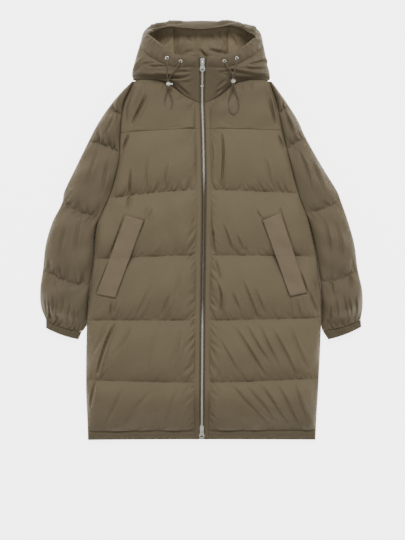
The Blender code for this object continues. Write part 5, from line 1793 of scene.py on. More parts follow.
        over = np.arange(skins.outer.shape[1]) < count
        z = skins.outer[..., 2]
        raised = np.maximum(z + lift * skins.free, skins.inner[..., 2] + 0.0012)
        sunk = np.minimum(z - lift * skins.free * 0.7, skins.inner[..., 2] - 0.0012)
        moved = np.where(over, raised, np.maximum(sunk, 0.0))
        skins.outer[..., 2] = np.where(skins.free > 0, moved, z)

    def make(self, skins: Skins, wardrobe: Wardrobe) -> Piece:
        """Build and dress the sleeve."""
        skins.outer[..., 2] = np.maximum(skins.outer[..., 2], 0.0)
        piece = dress(skins.build(), wardrobe.sleeve, "shell", f"sleeve_{self.side.value}")
        return piece


@dataclass
class Cuff:
    """A short elastic cuff, gathered all round."""

    side: Side
    height: float = 0.0075
    wall: float = 0.0058
    mid: float = 0.0085
    rib: float = 0.0018
    rib_pitch: float = 0.0088
    widest: float = 0.13
    sags: Point = (0.006, 0.004)
    plump: float = 0.7
    around: int = 300
    rows: int = 18

    def skins(self) -> tuple[Field, Field]:
        """Outer and inner rings, each closed."""
        sign = self.side.sign
        sleeve = Sleeve(self.side)
        top_in, top_out = np.array(sleeve.inner_end()), np.array(sleeve.outer_line()[-1])
        ends = self.side.pick(((-0.341, -0.301), (-0.431, -0.269)),
                              ((0.351, -0.301), (0.443, -0.266)))
        share = np.linspace(0.0, 1.0, self.rows)[:, None]
        start = top_in + (np.array(ends[0]) - top_in) * share
        stop = top_out + (np.array(ends[1]) - top_out) * share
        across = stop - start
        width = np.linalg.norm(across, axis=1, keepdims=True)
        down = np.stack([across[:, 1], -across[:, 0]], 1) / width * sign
        sag = self.sags[0] * (1 - share) + self.sags[1] * share
        angle = np.linspace(0.0, 2 * math.pi, self.around + 1)[None, :]
        part = 0.5 - 0.5 * np.cos(angle)
        high = np.sign(np.sin(angle)) * np.abs(np.sin(angle)) ** self.plump
        high[:, -1] = high[:, 0]
        place = 0.5 + (part - 0.5) * (1 - 2 * self.wall / width)
        mid = self.mid + (sleeve.end_mid - self.mid) * (1 - share)
        ribs = self.ribs(part * width, share) * np.abs(np.sin(angle))

        def ring(spot: Field, rise: Field) -> Field:
            """Points round each ring."""
            droop = down[:, None] * (sag * 4 * spot * (1 - spot))[..., None]
            plan = start[:, None] + across[:, None] * spot[..., None] + droop
            plan[0] += down[0] * 2 * GAP
            return np.concatenate([plan, (mid + rise)[..., None]], -1)

        lips = 1.0 - 0.35 * (1 - rounded(np.minimum(share, 1 - share), 0.22))
        outer = ring(part + 0 * width, high * lips * self.height + ribs * np.sign(high))
        inner = ring(place, (self.height - self.wall) * high)
        outer[..., 2] = np.maximum(outer[..., 2], 0.0)
        outer[:, -1], inner[:, -1] = outer[:, 0], inner[:, 0]
        return outer, inner

    def ribs(self, along: Field, share: Field) -> Field:
        """Uneven gathers along the elastic."""
        chance = np.random.default_rng(90 + self.side.sign)
        added = np.zeros_like(along * share)
        spot = 0.0
        while spot < self.widest:
            lean = chance.uniform(-0.002, 0.002)
            wide = self.rib_pitch * chance.uniform(0.22, 0.36)
            off = (along - spot - lean * share) / wide
            added -= chance.uniform(0.6, 1.5) * np.exp(-(off**2))
            spot += self.rib_pitch * chance.uniform(0.7, 1.3)
        return self.rib * (added + 0.5)

    def make(self, wardrobe: Wardrobe) -> Piece:
        """Build and dress the cuff."""
        name = f"cuff_{self.side.value}"
        piece = dress(closed_wall(f"{name}_cloth", *self.skins()), wardrobe.cuff, "shell", name)
        return piece


# Hood


HOOD_FOLDS = folds(
    # The roll of the hood over the collar: a sharp fold on each side of the zip.
    (60, 36, 100, (-188, 424), (-145, 421.5), (-93, 420.5), (-48, 416), (-32, 424), (-28, 438)),
    (48, 34, 90, (-26, 424), (-60, 418.5), (-100, 419), (-150, 420), (-190, 425)),
    (60, 36, 100, (45, 431), (70, 434), (92, 434.5), (120, 429), (149, 424), (186, 422)),
    (46, 34, 90, (48, 430), (70, 424), (84, 415), (150, 419), (186, 424)),
    # Short folds at the hood's outer sides and round its corners.
    (62, 34, 60, (-177, 440), (-155, 455), (-126, 458)),
    (56, 32, 60, (-182, 432), (-166, 458), (-149, 472)),
    (50, 32, 50, (-154, 452), (-128, 448), (-90, 448)),
    (36, 32, 50, (-76, 430), (-50, 433.5), (-31, 433), (-17, 444)),
    (60, 34, 60, (109, 446), (149, 441.5), (182, 446)),
    (56, 32, 60, (154, 466), (176, 461), (184, 447)),
    (52, 32, 50, (126, 452), (158, 461), (170, 472)),
    (42, 32, 50, (90, 446), (112, 440.5), (130, 438.5)),
    # Collar, below the fold.
    (22, 36, 50, (-150, 414), (-120, 406)),
    (40, 36, 50, (-70, 404), (-52, 386), (-34, 370)),
    (38, 32, 50, (-48, 404), (-30, 409), (-13, 423)),
    (30, 30, 50, (-20, 404), (-22, 372)),
    (34, 28, 50, (14, 436), (17, 418)),
    (30, 34, 50, (28, 410), (30, 378)),
    (42, 34, 50, (66, 412), (54, 402), (44, 390)),
    (34, 34, 50, (58, 392), (40, 374)),
    (22, 36, 50, (130, 416), (106, 408)),
)


CASING_FOLDS = folds(
    # Gathers at the corners of the face opening, mostly along the casing.
    (75, 34, 70, (-150, 552), (-131, 556), (-95, 561)),
    (70, 32, 70, (-148, 535), (-125, 540), (-97, 550)),
    (62, 30, 70, (-138, 551), (-120, 544), (-105, 547)),
    (56, 34, 60, (-95, 564), (-69, 568), (-44, 571)),
    (78, 34, 70, (91, 564), (104, 554), (124, 544), (144, 532)),
    (70, 32, 70, (108, 567), (131, 557), (150, 545)),
    (62, 30, 70, (118, 560), (128, 548), (146, 538)),
    (56, 34, 60, (40, 562), (68, 569), (91, 568)),
)

LINING_FOLDS = folds(
    (85, 46, 70, (107, 549), (128, 530), (131, 506)),
    (60, 42, 60, (86, 540), (100, 520), (104, 498)),
    (75, 42, 60, (-88, 546), (-98, 526), (-110, 506)),
    (65, 45, 60, (-66, 540), (-74, 515), (-76, 492)),
    (78, 42, 60, (-8, 502), (4, 489), (14, 478)),
    (58, 46, 60, (-22, 498), (-46, 490), (-60, 480)),
    (58, 46, 60, (60, 536), (66, 512), (62, 490)),
    (56, 40, 60, (-116, 532), (-122, 516), (-116, 500)),
    (44, 42, 50, (-40, 542), (-36, 522)),
    (56, 44, 60, (20, 500), (52, 493), (86, 488)),
    (40, 42, 50, (30, 544), (34, 526)),
)


def inward(points: Field) -> Field:
    """The way from points of the hood's skin to its hollow, the same for every piece there."""
    x, y, z = points[..., 0], points[..., 1], points[..., 2]
    heart = np.stack([0.75 * np.clip(x, -0.10, 0.10), np.clip(y, 0.33, 0.535),
                      0.032 - 0.022 * eased(0.034, 0.046, z)], -1)
    way = heart - points
    return way / np.linalg.norm(way, axis=-1, keepdims=True)


def drawn_in(points: Field, sides: Sequence[str]) -> Field:
    """A grid whose named edges are moved in by half a gap.

    Args:
        points: the grid.
        sides: which edges: "first row", "last row", "first column" or "last column".

    Returns:
        The grid.
    """
    moved = points.copy()
    for side in sides:
        rows = side.endswith("row")
        edge, beside = (0, 1) if side.startswith("first") else (-1, -2)
        here = points[edge] if rows else points[:, edge]
        there = points[beside] if rows else points[:, beside]
        way = there - here
        way = way / np.maximum(np.linalg.norm(way, axis=-1, keepdims=True), 1e-9) * GAP * 0.6
        if rows:
            moved[edge] += way
        else:
            moved[:, edge] += way
    return moved


@dataclass
class HoodPanel:
    """A padded panel of the hood, thin at its seams, with its lining where that shows."""

    name: str
    lining: str
    lines: Sequence[HoodLine]
    lined_from: int
    fine: int = 13
    rows: int = 72
    wall: float = 0.004
    pad: float = 0.007
    lining_clear: float = 0.0005
    lining_wall: float = 0.001
    slack: float = 0.0038
    length: float = 0.075
    puffed: float = 0.0030
    at_seam: Point = (0.011, 0.022, 0.0024)  # pitch, reach and depth of the puckers
    at_neck: Point = (0.013, 0.018, 0.0018)
    in_lining: Point = (0.012, 0.055, 0.0036)

    @property
    def has_zip(self) -> bool:
        """Whether the panel's first line is the zip's strip."""
        return len(self.lines) > 3

    def faces(self, first: int, fine: int, rows: int,
              bridge: float = 0.0) -> tuple[Field, Field, Field, Field]:
        """Plain outer and inner skins.

        Args:
            first: the line that the columns start from.
            fine: columns between lines.
            rows: rows.
            bridge: the least share of the padding at the seams between panels.

        Returns:
            Outer and inner points, and the places across and down.
        """
        last = len(self.lines) - 1
        across = np.linspace(first, last, (last - first) * fine + 1)
        down = np.linspace(0.0, 1.0, rows)
        point = hood_skin(self.lines, across, down)
        strip = 0.5 if self.has_zip else 0.0
        over = np.maximum(across - strip, 0.0) / (last - strip)
        swell = np.maximum(np.abs(np.sin(np.pi * over)) ** 0.5, bridge)[None, :]
        swell = swell * np.abs(np.sin(np.pi * down))[:, None] ** 0.5
        thick = self.wall + self.pad * swell
        if self.has_zip:
            thick = np.where(across[None, :] <= strip, FORM.strip_wall, thick)
        sides = ["first row", "last row", "last column"]
        if not self.has_zip and first == 0:
            sides.append("first column")
        outer = drawn_in(point, sides)
        return outer, outer + inward(outer) * thick[..., None], across, down

    def make(self, wardrobe: Wardrobe) -> Piece:
        """Build and dress the panel."""
        outer, inner, across, down = self.faces(0, self.fine, self.rows)
        x, y, z = outer[..., 0], outer[..., 1], outer[..., 2]
        upper = eased(0.024, 0.046, z)
        lift = total_lift(HOOD_FOLDS, x, y) * upper
        lift += rolling(x * 1.2, y + z, 51, 0.0012, 0.05)
        out_seam = down[:, None] * self.length + 0 * x
        out_neck = (1 - down)[:, None] * self.length + 0 * x
        along = walked(outer[0])[None, :] + 0 * x
        lift += Gathers(len(self.name), *self.at_seam).lift(along, out_seam)
        lift += Gathers(len(self.name) + 1, *self.at_neck).lift(along, out_neck)
        edge = eased(0.0, 0.07, down)[:, None] * eased(1.0, 0.94, down)[:, None]
        if self.has_zip:
            edge = edge * eased(0.30, 0.75, across)[None, :]
        edge = edge * eased(across[-1], across[-1] - 0.2, across)[None, :]
        puffed = self.puffed * np.sin(np.pi * np.clip(down, 0, 1))[:, None] ** 0.7 * upper
        rise = np.maximum((lift + puffed) * edge, -self.puffed)
        outer = outer - inward(outer) * rise[..., None]
        outer[..., 2] = np.maximum(outer[..., 2], 0.0)
        piece = closed_wall(f"{self.name}_cloth", outer, inner)
        dress(piece, wardrobe.hood, "shell", self.name)
        return piece

    def make_lining(self, wardrobe: Wardrobe) -> Piece:
        """Build and dress the lining behind the panel."""
        _, face, across, down = self.faces(self.lined_from, self.fine, self.rows, 1.0)
        way = inward(face)
        rows, columns = np.gradient(face, axis=0), np.gradient(face, axis=1)
        normal = np.cross(rows, columns)
        size = np.maximum(np.linalg.norm(normal, axis=-1), 1e-12)
        square = np.abs((normal * way).sum(-1)) / size
        clear = (self.lining_clear / np.maximum(square, 0.3))[..., None]
        near = face + way * clear
        run = walked(face[0])
        along = run[None, :] + 0 * face[..., 0]
        folds = Gathers(len(self.lining) + 7, *self.in_lining, spread=0.3, lip=0.9)
        lift = folds.lift(along, down[:, None] * 0.10 + 0 * along)
        soft = rolling(face[..., 0] * 1.4, face[..., 1], 53, 0.0012, 0.05)
        soft = soft + total_lift(LINING_FOLDS, face[..., 0], face[..., 1])
        ends = eased(0.0, 0.08, down)[:, None] * eased(1.0, 0.92, down)[:, None]
        slack = ends * eased(across[0], across[0] + 0.08, across)[None, :]
        slack = slack * eased(across[-1], across[-1] - 0.08, across)[None, :]
        loose = (self.slack + np.maximum(lift + soft, 0.0006 - self.slack)) * slack
        far = near + way * (self.lining_wall + loose + 0.0012 * ends)[..., None]
        # The side linings take the lighter lining: painted light in the hollow's shaded corners.
        cloth = wardrobe.painted_light_side_lining if self.lined_from else wardrobe.lining
        piece = closed_wall(f"{self.lining}_cloth", far, near)
        dress(piece, cloth, "lining", self.lining)
        piece.data.set_sharp_from_angle(angle=math.radians(50))
        size = mesh_area(piece) / 2
        return piece


@dataclass
class Casing:
    """The turned band round the face opening that the cord is drawn through."""

    wall: float = 0.0030
    bulge: float = 0.0020
    swell: float = 0.0028
    hole: float = 0.0033
    width: float = 0.032
    corner_swell: float = 0.0026
    deepest: float = 0.0016
    corner_x: Point = (0.055, 0.085, 0.136, 0.156)
    corner_y: Point = (0.490, 0.515)
    at_seam: Point = (0.0095, 0.024, 0.0030)  # pitch, reach and depth of the puckers
    at_rim: Point = (0.0105, 0.018, 0.0026)
    fine: int = 16
    rows: int = 25

    def grid(self) -> tuple[Field, Field, Field, Field]:
        """Skins of the casing.

        Returns:
            Outer and inner points, the length along the band and the share across it.
        """
        ring = [*HOOD_LINES[Side.RIGHT], HOOD_CENTRE, *reversed(HOOD_LINES[Side.LEFT])]
        rims = np.array([line.rim for line in ring])
        seams = np.array([line.seam for line in ring])
        middles = (rims + seams) / 2
        middles = middles - inward(middles) * self.bulge
        at = np.linspace(0.0, len(ring) - 1.0, (len(ring) - 1) * self.fine + 1)
        sides = len(HOOD_LINES[Side.RIGHT]) - 1
        top = np.array([0.0])
        seam = np.concatenate([
            hood_skin(HOOD_LINES[Side.RIGHT], at[at < sides], top)[0],
            hood_skin(HOOD_CROWN, at[(at >= sides) & (at <= sides + 2)] - sides, top)[0],
            hood_skin(HOOD_LINES[Side.LEFT], 2 * sides + 2 - at[at > sides + 2], top)[0],
        ])
        rim, middle = Track(range(len(ring)), rims)(at), Track(range(len(ring)), middles)(at)
        share = np.linspace(0.0, 1.0, self.rows)
        points = Track((0.0, 0.5, 1.0), np.stack([rim, middle, seam]))(share)
        points = drawn_in(points, ["last row"])
        inner = points + inward(points) * self.wall
        return points, inner, walked(middle), share

    def make(self, wardrobe: Wardrobe) -> Piece:
        """Build and dress the casing."""
        points, inner, run, share = self.grid()
        along = run[None, :] + 0 * points[..., 0]
        from_rim = share[:, None] * self.width + 0 * along
        from_seam = (1 - share)[:, None] * self.width + 0 * along
        rise = self.swell * np.sin(np.pi * share)[:, None] ** 0.8
        gathers = Gathers(71, *self.at_seam, spread=0.5).lift(along, from_seam)
        gathers += Gathers(72, *self.at_rim, spread=0.5).lift(along, from_rim)
        total = float(run[-1])
        side = np.abs(points[..., 0])
        corner = eased(*self.corner_x[:2], side) * eased(*self.corner_y, points[..., 1])
        corner = corner * eased(*self.corner_x[:1:-1], side)
        rise = rise + self.corner_swell * corner + gathers * (0.5 + 1.0 * corner)
        rise = rise + total_lift(CASING_FOLDS, points[..., 0], points[..., 1])
        ends = eased(0.0, 0.012, along) * eased(total, total - 0.012, along)
        rise = rise * eased(0.0, 0.06, share)[:, None] * eased(1.0, 0.94, share)[:, None] * ends
        outer = points - inward(points) * np.maximum(rise, -self.deepest)[..., None]
        holes = []
        for eyelet in EYELETS:
            middle, way = np.array(eyelet.place), np.array(eyelet.facing)
            height = (outer - middle) @ way
            reach = np.linalg.norm(outer - middle - height[..., None] * way, axis=-1)
            near = eased(0.0150, 0.0070, reach) * (np.abs(height) < 0.02)
            outer -= ((height + 0.0001) * near)[..., None] * way
            holes.append((middle, way))
        piece = pierced(closed_wall("hood_casing_cloth", outer, inner), holes, self.hole)
        dress(piece, wardrobe.hood, "shell", "hood_casing")
        return piece


@dataclass
class Hood:
    """The hood: side panels, crown strip, linings and casing."""

    def panels(self) -> list[HoodPanel]:
        """The three panels, with their linings."""
        return [
            HoodPanel("hood_side_right", "hood_lining_right", HOOD_LINES[Side.RIGHT], 4),
            HoodPanel("hood_side_left", "hood_lining_left", HOOD_LINES[Side.LEFT], 4),
            HoodPanel("hood_crown", "hood_lining_crown", HOOD_CROWN, 0, fine=26),
        ]

    def make(self, wardrobe: Wardrobe) -> list[Piece]:
        """Build and dress every piece."""
        pieces = []
        for panel in self.panels():
            pieces += [panel.make(wardrobe), panel.make_lining(wardrobe)]
        return [*pieces, Casing().make(wardrobe)]


# Zip


@dataclass
class Zip:
    """The two-way zip: woven tapes under the front strips, and its closed metal teeth."""

    tape_in: float = 0.0040
    tape_out: float = 0.0180
    tape_wall: float = 0.001
    tape_ends: Point = (0.4715, -0.5745)
    tape_clear: Point = (0.0005, 0.0021)
    chain_half: float = 0.0030
    chain_ends: Point = (0.4610, -0.568)
    chain_top: float = -0.0022
    chain_bottom: float = -0.0050
    pitch: float = 0.0032
    tooth_length: float = 0.0019
    overlap: float = 0.0010
    bevel: float = 0.0005

    def make_tape(self, side: Side, wardrobe: Wardrobe) -> Piece:
        """Build and dress one tape.

        Args:
            side: which tape.
            wardrobe: the materials.

        Returns:
            The tape.
        """
        y = np.linspace(*self.tape_ends, 360)[:, None]
        off = np.array([self.tape_in, 0.0052, 0.0062, 0.0085, self.tape_out])[None, :]
        x = FORM.zip_x(y) + side.sign * off
        low, high = self.tape_clear
        clear = low + (high - low) * eased(0.335, 0.351, y)
        top = FORM.strip_top(y) - FORM.strip_wall - clear + 0 * off
        bead = np.where(off < 0.0055, 0.0006, 0.0)
        name = f"zip_tape_{side.value}"
        piece = closed_wall(f"{name}_cloth", np.stack([x, y + 0 * off, top + bead], -1),
                            np.stack([x, y + 0 * off, top - self.tape_wall], -1))
        dress(piece, wardrobe.tape, "zip_tape", name)
        return piece

    def make_teeth(self, wardrobe: Wardrobe) -> Piece:
        """Build and dress the closed teeth as one joined mesh."""
        half = self.tooth_length / 2
        deep, top = self.chain_bottom, self.chain_top
        outline = ((-self.chain_half, 0.72), (-0.0016, 0.72), (-0.0010, 0.50), (-0.0004, 0.50),
                   (0.0002, 0.95), (self.overlap, 0.80))
        edge = [(x, half * wide) for x, wide in outline]
        ring = edge + [(x, -wide) for x, wide in reversed(edge)]
        ridge = [0.0006 if x in (-self.chain_half, self.overlap) else 0.0 for x, _ in ring]
        count = len(ring)
        lid = [(x * 0.94, y * 0.7, top - drop * 0.5) for (x, y), drop in zip(ring, ridge)]
        tooth = np.array([(x, y, deep) for x, y in ring]
                         + [(x, y, top - self.bevel) for x, y in ring] + lid)
        faces = [list(range(count))[::-1], list(range(2 * count, 3 * count))]
        for level in (0, count):
            faces += [[level + k, level + (k + 1) % count, level + (k + 1) % count + count,
                       level + k + count] for k in range(count)]
        high, low = self.chain_ends
        number = int((high - low) / self.pitch)
        points, solid = [], []
        for side in Side:
            y = high - 0.002 - self.pitch * (np.arange(number) + (0.5 if side is Side.LEFT else 0))
            slope = np.arctan(np.gradient(FORM.strip_top(y), y))
            for place, lean, lift in zip(y, slope, FORM.strip_top(y)):
                local = tooth * (side.pick(1, -1), 1, 1)
                turned = np.stack([local[:, 0], local[:, 1] * math.cos(lean),
                                   local[:, 2] + local[:, 1] * math.sin(lean)], -1)
                first = len(points) * len(tooth)
                points.append(turned + (float(FORM.zip_x(place)), place, lift))
                solid += [[first + k for k in face[::side.pick(1, -1)]] for face in faces]
        piece = meshed("zip_teeth", np.concatenate(points), solid)
        piece.data.set_sharp_from_angle(angle=math.radians(40))
        return dress(piece, wardrobe.teeth, "metal", "zip_chain")

    def make(self, wardrobe: Wardrobe) -> list[Piece]:
        """Build and dress the tapes and the teeth."""
        return [*(self.make_tape(side, wardrobe) for side in Side), self.make_teeth(wardrobe)]


# Cords and metal pieces


@dataclass(frozen=True)
class Eyelet:
    """A metal eyelet in the casing: its middle, the way that it faces, and its reach."""

    side: Side
    name: str
    place: Point
    facing: Point

    def mouth(self, height: float) -> Field:
        """The point at this height over the eyelet's middle."""
        return np.array(self.place) + np.array(self.facing) * height


EYELETS = (
    Eyelet(Side.RIGHT, "inner", (-0.0572, 0.4600, 0.07885), (-0.0641, -0.4082, 0.9106)),
    Eyelet(Side.RIGHT, "outer", (-0.0940, 0.4700, 0.07438), (-0.3028, -0.2255, 0.9260)),
    Eyelet(Side.LEFT, "inner", (0.0622, 0.4610, 0.07884), (0.1392, -0.3848, 0.9124)),
    Eyelet(Side.LEFT, "outer", (0.0962, 0.4690, 0.07482), (0.3434, -0.3056, 0.8881)),
)


@dataclass
class HoodCord:
    """A soft round cord: out of its outer eyelet, through its lock, round a loop and back in."""

    side: Side
    down: tuple[Point, ...]
    first: Point
    loop: tuple[Point, ...]
    second: Point
    up: tuple[Point, ...]
    mouths: Point = (-0.0030, 0.0005, 0.0035)
    ahead: float = 0.0090
    step: float = 0.0022
    radius: float = 0.00165

    def route(self) -> Field:
        """Points a step apart along the cord."""
        inner, outer = (next(eyelet for eyelet in EYELETS
                             if eyelet.side is self.side and eyelet.name == name)
                        for name in ("inner", "outer"))
        ahead = np.array((0.0, self.ahead, 0.0))
        first, second = np.array(self.first), np.array(self.second)
        laid = np.array([
            *(outer.mouth(height) for height in self.mouths), *self.down,
            first + ahead, first - ahead, *self.loop, second - ahead, second + ahead, *self.up,
            *(inner.mouth(height) for height in reversed(self.mouths))])
        knots = walked(laid)
        count = round(knots[-1] / self.step)
        return Track(knots, laid)(np.linspace(0.0, knots[-1], count + 1))

    def make(self, wardrobe: Wardrobe) -> Piece:
        """Build and dress the cord."""
        name = f"cord_{self.side.value}"
        laid = self.route()
        curve = bpy.data.curves.new(f"{name}_braid", "CURVE")
        curve.dimensions = "3D"
        curve.bevel_depth = self.radius
        curve.bevel_resolution = 4
        curve.use_fill_caps = True
        spline = curve.splines.new("POLY")
        spline.points.add(len(laid) - 1)
        for spot, place in zip(spline.points, laid):
            spot.co = (*place, 1.0)
        spline.use_smooth = True
        piece = bpy.data.objects.new(f"{name}_braid", curve)
        bpy.context.scene.collection.objects.link(piece)
        dress(piece, wardrobe.cord, "cord", name)
        return piece


CORDS = (
    HoodCord(
        Side.RIGHT,
        down=((-0.0938, 0.4570, 0.0795), (-0.0936, 0.4380, 0.0760), (-0.0934, 0.4200, 0.0700)),
        first=(-0.0933, 0.4000, 0.0640),
        loop=((-0.0955, 0.3780, 0.0600), (-0.1005, 0.3560, 0.0570), (-0.0985, 0.3370, 0.0560),
              (-0.0900, 0.3300, 0.0560), (-0.0815, 0.3380, 0.0570), (-0.0805, 0.3570, 0.0580),
              (-0.0865, 0.3790, 0.0600)),
        second=(-0.0897, 0.4000, 0.0640),
        up=((-0.0850, 0.4200, 0.0705), (-0.0745, 0.4360, 0.0775), (-0.0630, 0.4500, 0.0825)),
    ),
    HoodCord(
        Side.LEFT,
        down=((0.0945, 0.4560, 0.0795), (0.0915, 0.4400, 0.0775), (0.0890, 0.4270, 0.0740)),
        first=(0.0882, 0.4070, 0.0687),
        loop=((0.0930, 0.3840, 0.0640), (0.1010, 0.3580, 0.0590), (0.1000, 0.3290, 0.0560),
              (0.0880, 0.3180, 0.0560), (0.0765, 0.3270, 0.0570), (0.0745, 0.3550, 0.0580),
              (0.0800, 0.3830, 0.0640)),
        second=(0.0846, 0.4070, 0.0687),
        up=((0.0830, 0.4270, 0.0740), (0.0765, 0.4380, 0.0785), (0.0675, 0.4510, 0.0830)),
    ),
)


@dataclass
class Hardware:
    """The metal pieces, whose solids stay as they are and get their plating."""

    names: tuple[str, ...] = (
        "slider_top", "slider_bottom", "pull_top", "pull_bottom", "lock_left", "lock_right",
        "button_left", "button_right", "eyelet_left_inner", "eyelet_left_outer",
        "eyelet_right_inner", "eyelet_right_outer",
    )

    def make(self, wardrobe: Wardrobe) -> list[Piece]:
        """Plate every metal piece."""
        pieces = [frame["nodes"][name] for name in self.names]
        for piece in pieces:
            for slot in piece.material_slots:
                slot.material = wardrobe.metal
        return pieces


# Stitching


@dataclass
class Stitching:
    """Rows of short stitches that sit on the cloth, in one mesh."""

    pitch: float = 0.0046
    length: float = 0.0031
    width: float = 0.0007
    proud: float = 0.00025
    welt_inset: float = 0.006
    strip_ends: Point = (0.438, -0.572)
    strip_rows: Point = (0.0018, FORM.strip_width - 0.0016)
    uneven: float = 0.002
    above: float = 0.2
    lines: list[Field] = field(default_factory=list)

    def add(self, x: Field, y: Field) -> None:
        """Add a seam line by its plan points."""
        self.lines.append(np.stack([x, y], -1))

    def lay_out(self) -> None:
        """Draw every visible row: quilting, zip strips, hem, welts and sleeves."""
        part = np.linspace(0.0, 1.0, 160)
        for side in Side:
            sign = side.sign
            for seam in FORM.seams[1:6]:
                side_y = seam[side.pick(1, 2)]
                start = float(FORM.zip_x(seam[0])) + sign * (FORM.strip_edge + FORM.strip_width)
                end = float(FORM.side_x(side, side_y)) - sign * 0.003
                share = part[2:-2]
                self.add(start + (end - start) * share,
                         seam[0] + (side_y - seam[0]) * share**FORM.seam_bow)
            y = np.linspace(*self.strip_ends, 300)
            for off in self.strip_rows:
                self.add(FORM.zip_x(y) + sign * (FORM.strip_edge + off), y)
            sleeve = Sleeve(side)
            at = sleeve.stations()[0]
            rings = sleeve.skins().outer[:, :sleeve.around, :2]
            for seam in range(1, 5):
                row = int(np.argmin(np.abs(at[:, 0] - seam)))
                self.add(rings[row, 3:-3, 0], rings[row, 3:-3, 1])
        for welt in WELTS:
            corners = welt.corners()
            middle = sum(corners) / 4
            inset = [spot + (middle - spot) / np.linalg.norm(middle - spot) * self.welt_inset
                     for spot in corners]
            for a, b in zip(inset, inset[1:] + inset[:1]):
                self.add(a[0] + (b[0] - a[0]) * part, a[1] + (b[1] - a[1]) * part)

    def seats(self) -> BVHTree:
        """The cloth that the stitches sit on, seen from above."""
        points, faces = [], []
        for piece in bpy.context.scene.objects:
            if piece.name.endswith("_cloth") and "lining" not in piece.name:
                first = len(points)
                points += [spot.co for spot in piece.data.vertices]
                faces += [[first + k for k in face.vertices] for face in piece.data.polygons]
        return BVHTree.FromPolygons(points, faces)

    def make(self, wardrobe: Wardrobe) -> Piece:
        """Build and dress every stitch."""
        self.lay_out()
        tree = self.seats()
        points, faces = [], []
        down = Vector((0, 0, -1))
        for line in self.lines:
            run = walked(line)
            for at in np.arange(0.002, run[-1] - self.length, self.pitch):
                marks = at + self.length * np.array((0.0, 0.5, 1.0))
                spots = zip(*(np.interp(marks, run, column) for column in line.T))
                hits = [tree.ray_cast(Vector((*spot, self.above)), down)[0] for spot in spots]
                if None not in hits and np.ptp([hit.z for hit in hits]) <= self.uneven:
                    self.stitch(hits, points, faces)
        piece = meshed("stitches", np.array(points), faces)
        return dress(piece, wardrobe.thread, "shell")

    def stitch(self, hits: Sequence[Vector], points: list, faces: list) -> None:
        """Add one stitch: a low bead with pointed ends.

        Args:
            hits: its two ends and its middle, on the cloth.
            points: the mesh's points so far.
            faces: the mesh's faces so far.
        """
        first = len(points)
        way = (hits[2] - hits[0]).normalized()
        side = way.cross(Vector((0, 0, 1))).normalized() * self.width / 2
        up = Vector((0, 0, self.proud))
        middle = hits[1]
        near, far = hits[0] + (middle - hits[0]) * 0.35, hits[2] + (middle - hits[2]) * 0.35
        points.append(tuple(hits[0] - up))
        for spot in (near, far):
            points += [tuple(spot + side - up), tuple(spot + up), tuple(spot - side - up),
                       tuple(spot - 2 * up)]
        points.append(tuple(hits[2] - up))
        a, b, end = first + 1, first + 5, first + 9
        for k in range(4):
            after = (k + 1) % 4
            faces.append([first, a + after, a + k])
            faces.append([a + k, a + after, b + after, b + k])
            faces.append([b + k, b + after, end])


# Studio


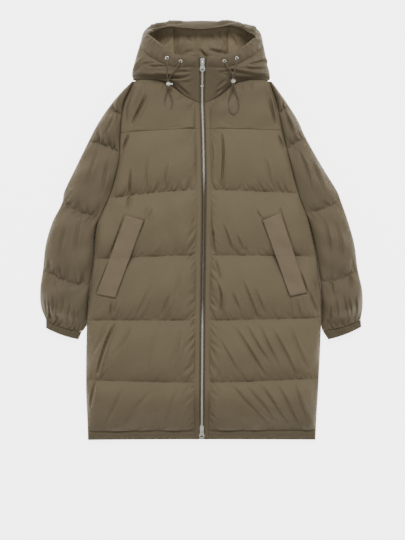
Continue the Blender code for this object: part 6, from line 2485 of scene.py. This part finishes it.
@dataclass
class Studio:
    """A plain pale floor, soft light and a camera that looks straight down."""

    focal: float = 100.0
    sensor: float = 36.0
    farthest: float = 50.0
    distance: float = 4.165
    aim: Point = (0.00275, -0.1086)
    floor_size: float = 12.0
    ground: float = -0.0006
    room: float = 0.38
    lit: Point = (0.0, -0.1, 0.0)
    lights: tuple[tuple, ...] = (  # name, place, size, power in watts
        ("key", (0.1, 3.0, 3.1), 1.4, 136.0), ("left_front", (-2.3, -0.4, 2.2), 1.6, 14.0),
        ("right_front", (2.3, -0.1, 2.2), 1.6, 14.0), ("lift", (0.0, -3.4, 2.2), 1.6, 18.0),
    )

    def make_camera(self) -> Piece:
        """Set the scene's camera."""
        data = bpy.data.cameras.new("straight_down")
        data.lens = self.focal
        data.sensor_width = self.sensor
        data.sensor_fit = "AUTO"
        data.clip_end = self.farthest
        camera = bpy.data.objects.new("straight_down", data)
        camera.location = (*self.aim, self.distance)
        bpy.context.scene.collection.objects.link(camera)
        bpy.context.scene.camera = camera
        return camera

    def make_floor(self) -> Piece:
        """Lay the pale floor."""
        half = self.floor_size / 2
        corners = [(-half, -half, self.ground), (half, -half, self.ground),
                   (half, half, self.ground), (-half, half, self.ground)]
        mesh = bpy.data.meshes.new("floor")
        mesh.from_pydata(corners, [], [[0, 1, 2, 3]])
        floor = bpy.data.objects.new("floor", mesh)
        floor.data.materials.append(Paper().make())
        bpy.context.scene.collection.objects.link(floor)
        return floor

    def make_light(self, name: str, place: Point, size: float, power: float) -> None:
        """Hang one soft square light that faces the coat.

        Args:
            name: its name.
            place: where it hangs.
            size: its side.
            power: its power in watts.
        """
        data = bpy.data.lights.new(name, "AREA")
        data.shape = "SQUARE"
        data.size = size
        data.energy = power
        light = bpy.data.objects.new(name, data)
        light.location = place
        way = Vector(self.lit) - Vector(place)
        light.rotation_euler = way.to_track_quat("-Z", "Y").to_euler()
        bpy.context.scene.collection.objects.link(light)

    def make(self) -> None:
        """Set up camera, floor, lights and the soft surroundings."""
        self.make_camera()
        self.make_floor()
        for light in self.lights:
            self.make_light(*light)
        world = bpy.data.worlds.new("soft_room")
        world.use_nodes = True
        room = world.node_tree.nodes["Background"]
        room.inputs["Color"].default_value = (1.0, 1.0, 1.0, 1.0)
        room.inputs["Strength"].default_value = self.room
        bpy.context.scene.world = world


def report(piece: Piece) -> None:
    """Log one finished piece."""
    faces = len(piece.data.polygons) if piece.type == "MESH" else 0
    LOG.info("%s made, %d faces", piece.name, faces)


def main() -> None:
    """Build the studio and every piece of the coat, and report them."""
    logging.basicConfig(level=logging.INFO, format="%(message)s")
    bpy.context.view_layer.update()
    Studio().make()
    wardrobe = Wardrobe()
    for cord in CORDS:
        report(cord.make(wardrobe))
    panels = [kind(side, fine=2) for side in Side for kind in (Front, Yoke, Sleeve)]
    skins = [panel.skins() for panel in panels]
    strength = 1.0
    coarse = [type(panel)(panel.side) for panel in panels]
    plain, creased = ([panel.skins() for panel in coarse] for _ in range(2))
    for panel, piece in zip(coarse, creased):
        panel.crease(piece)
    for piece, moved in zip(skins, Settling().run(creased, plain)):
        piece.settle(moved)
    strength = 0.65
    for panel, piece in zip(panels, skins):
        panel.crease(piece, strength)
        report(panel.make(piece, wardrobe))
    for side in Side:
        report(Cuff(side).make(wardrobe))
    for piece in (Back().make(wardrobe), *(welt.make(wardrobe) for welt in WELTS)):
        report(piece)
    for piece in (*Hood().make(wardrobe), *Zip().make(wardrobe), *Hardware().make(wardrobe)):
        report(piece)
    report(Stitching().make(wardrobe))


if __name__ == "__main__":
    main()
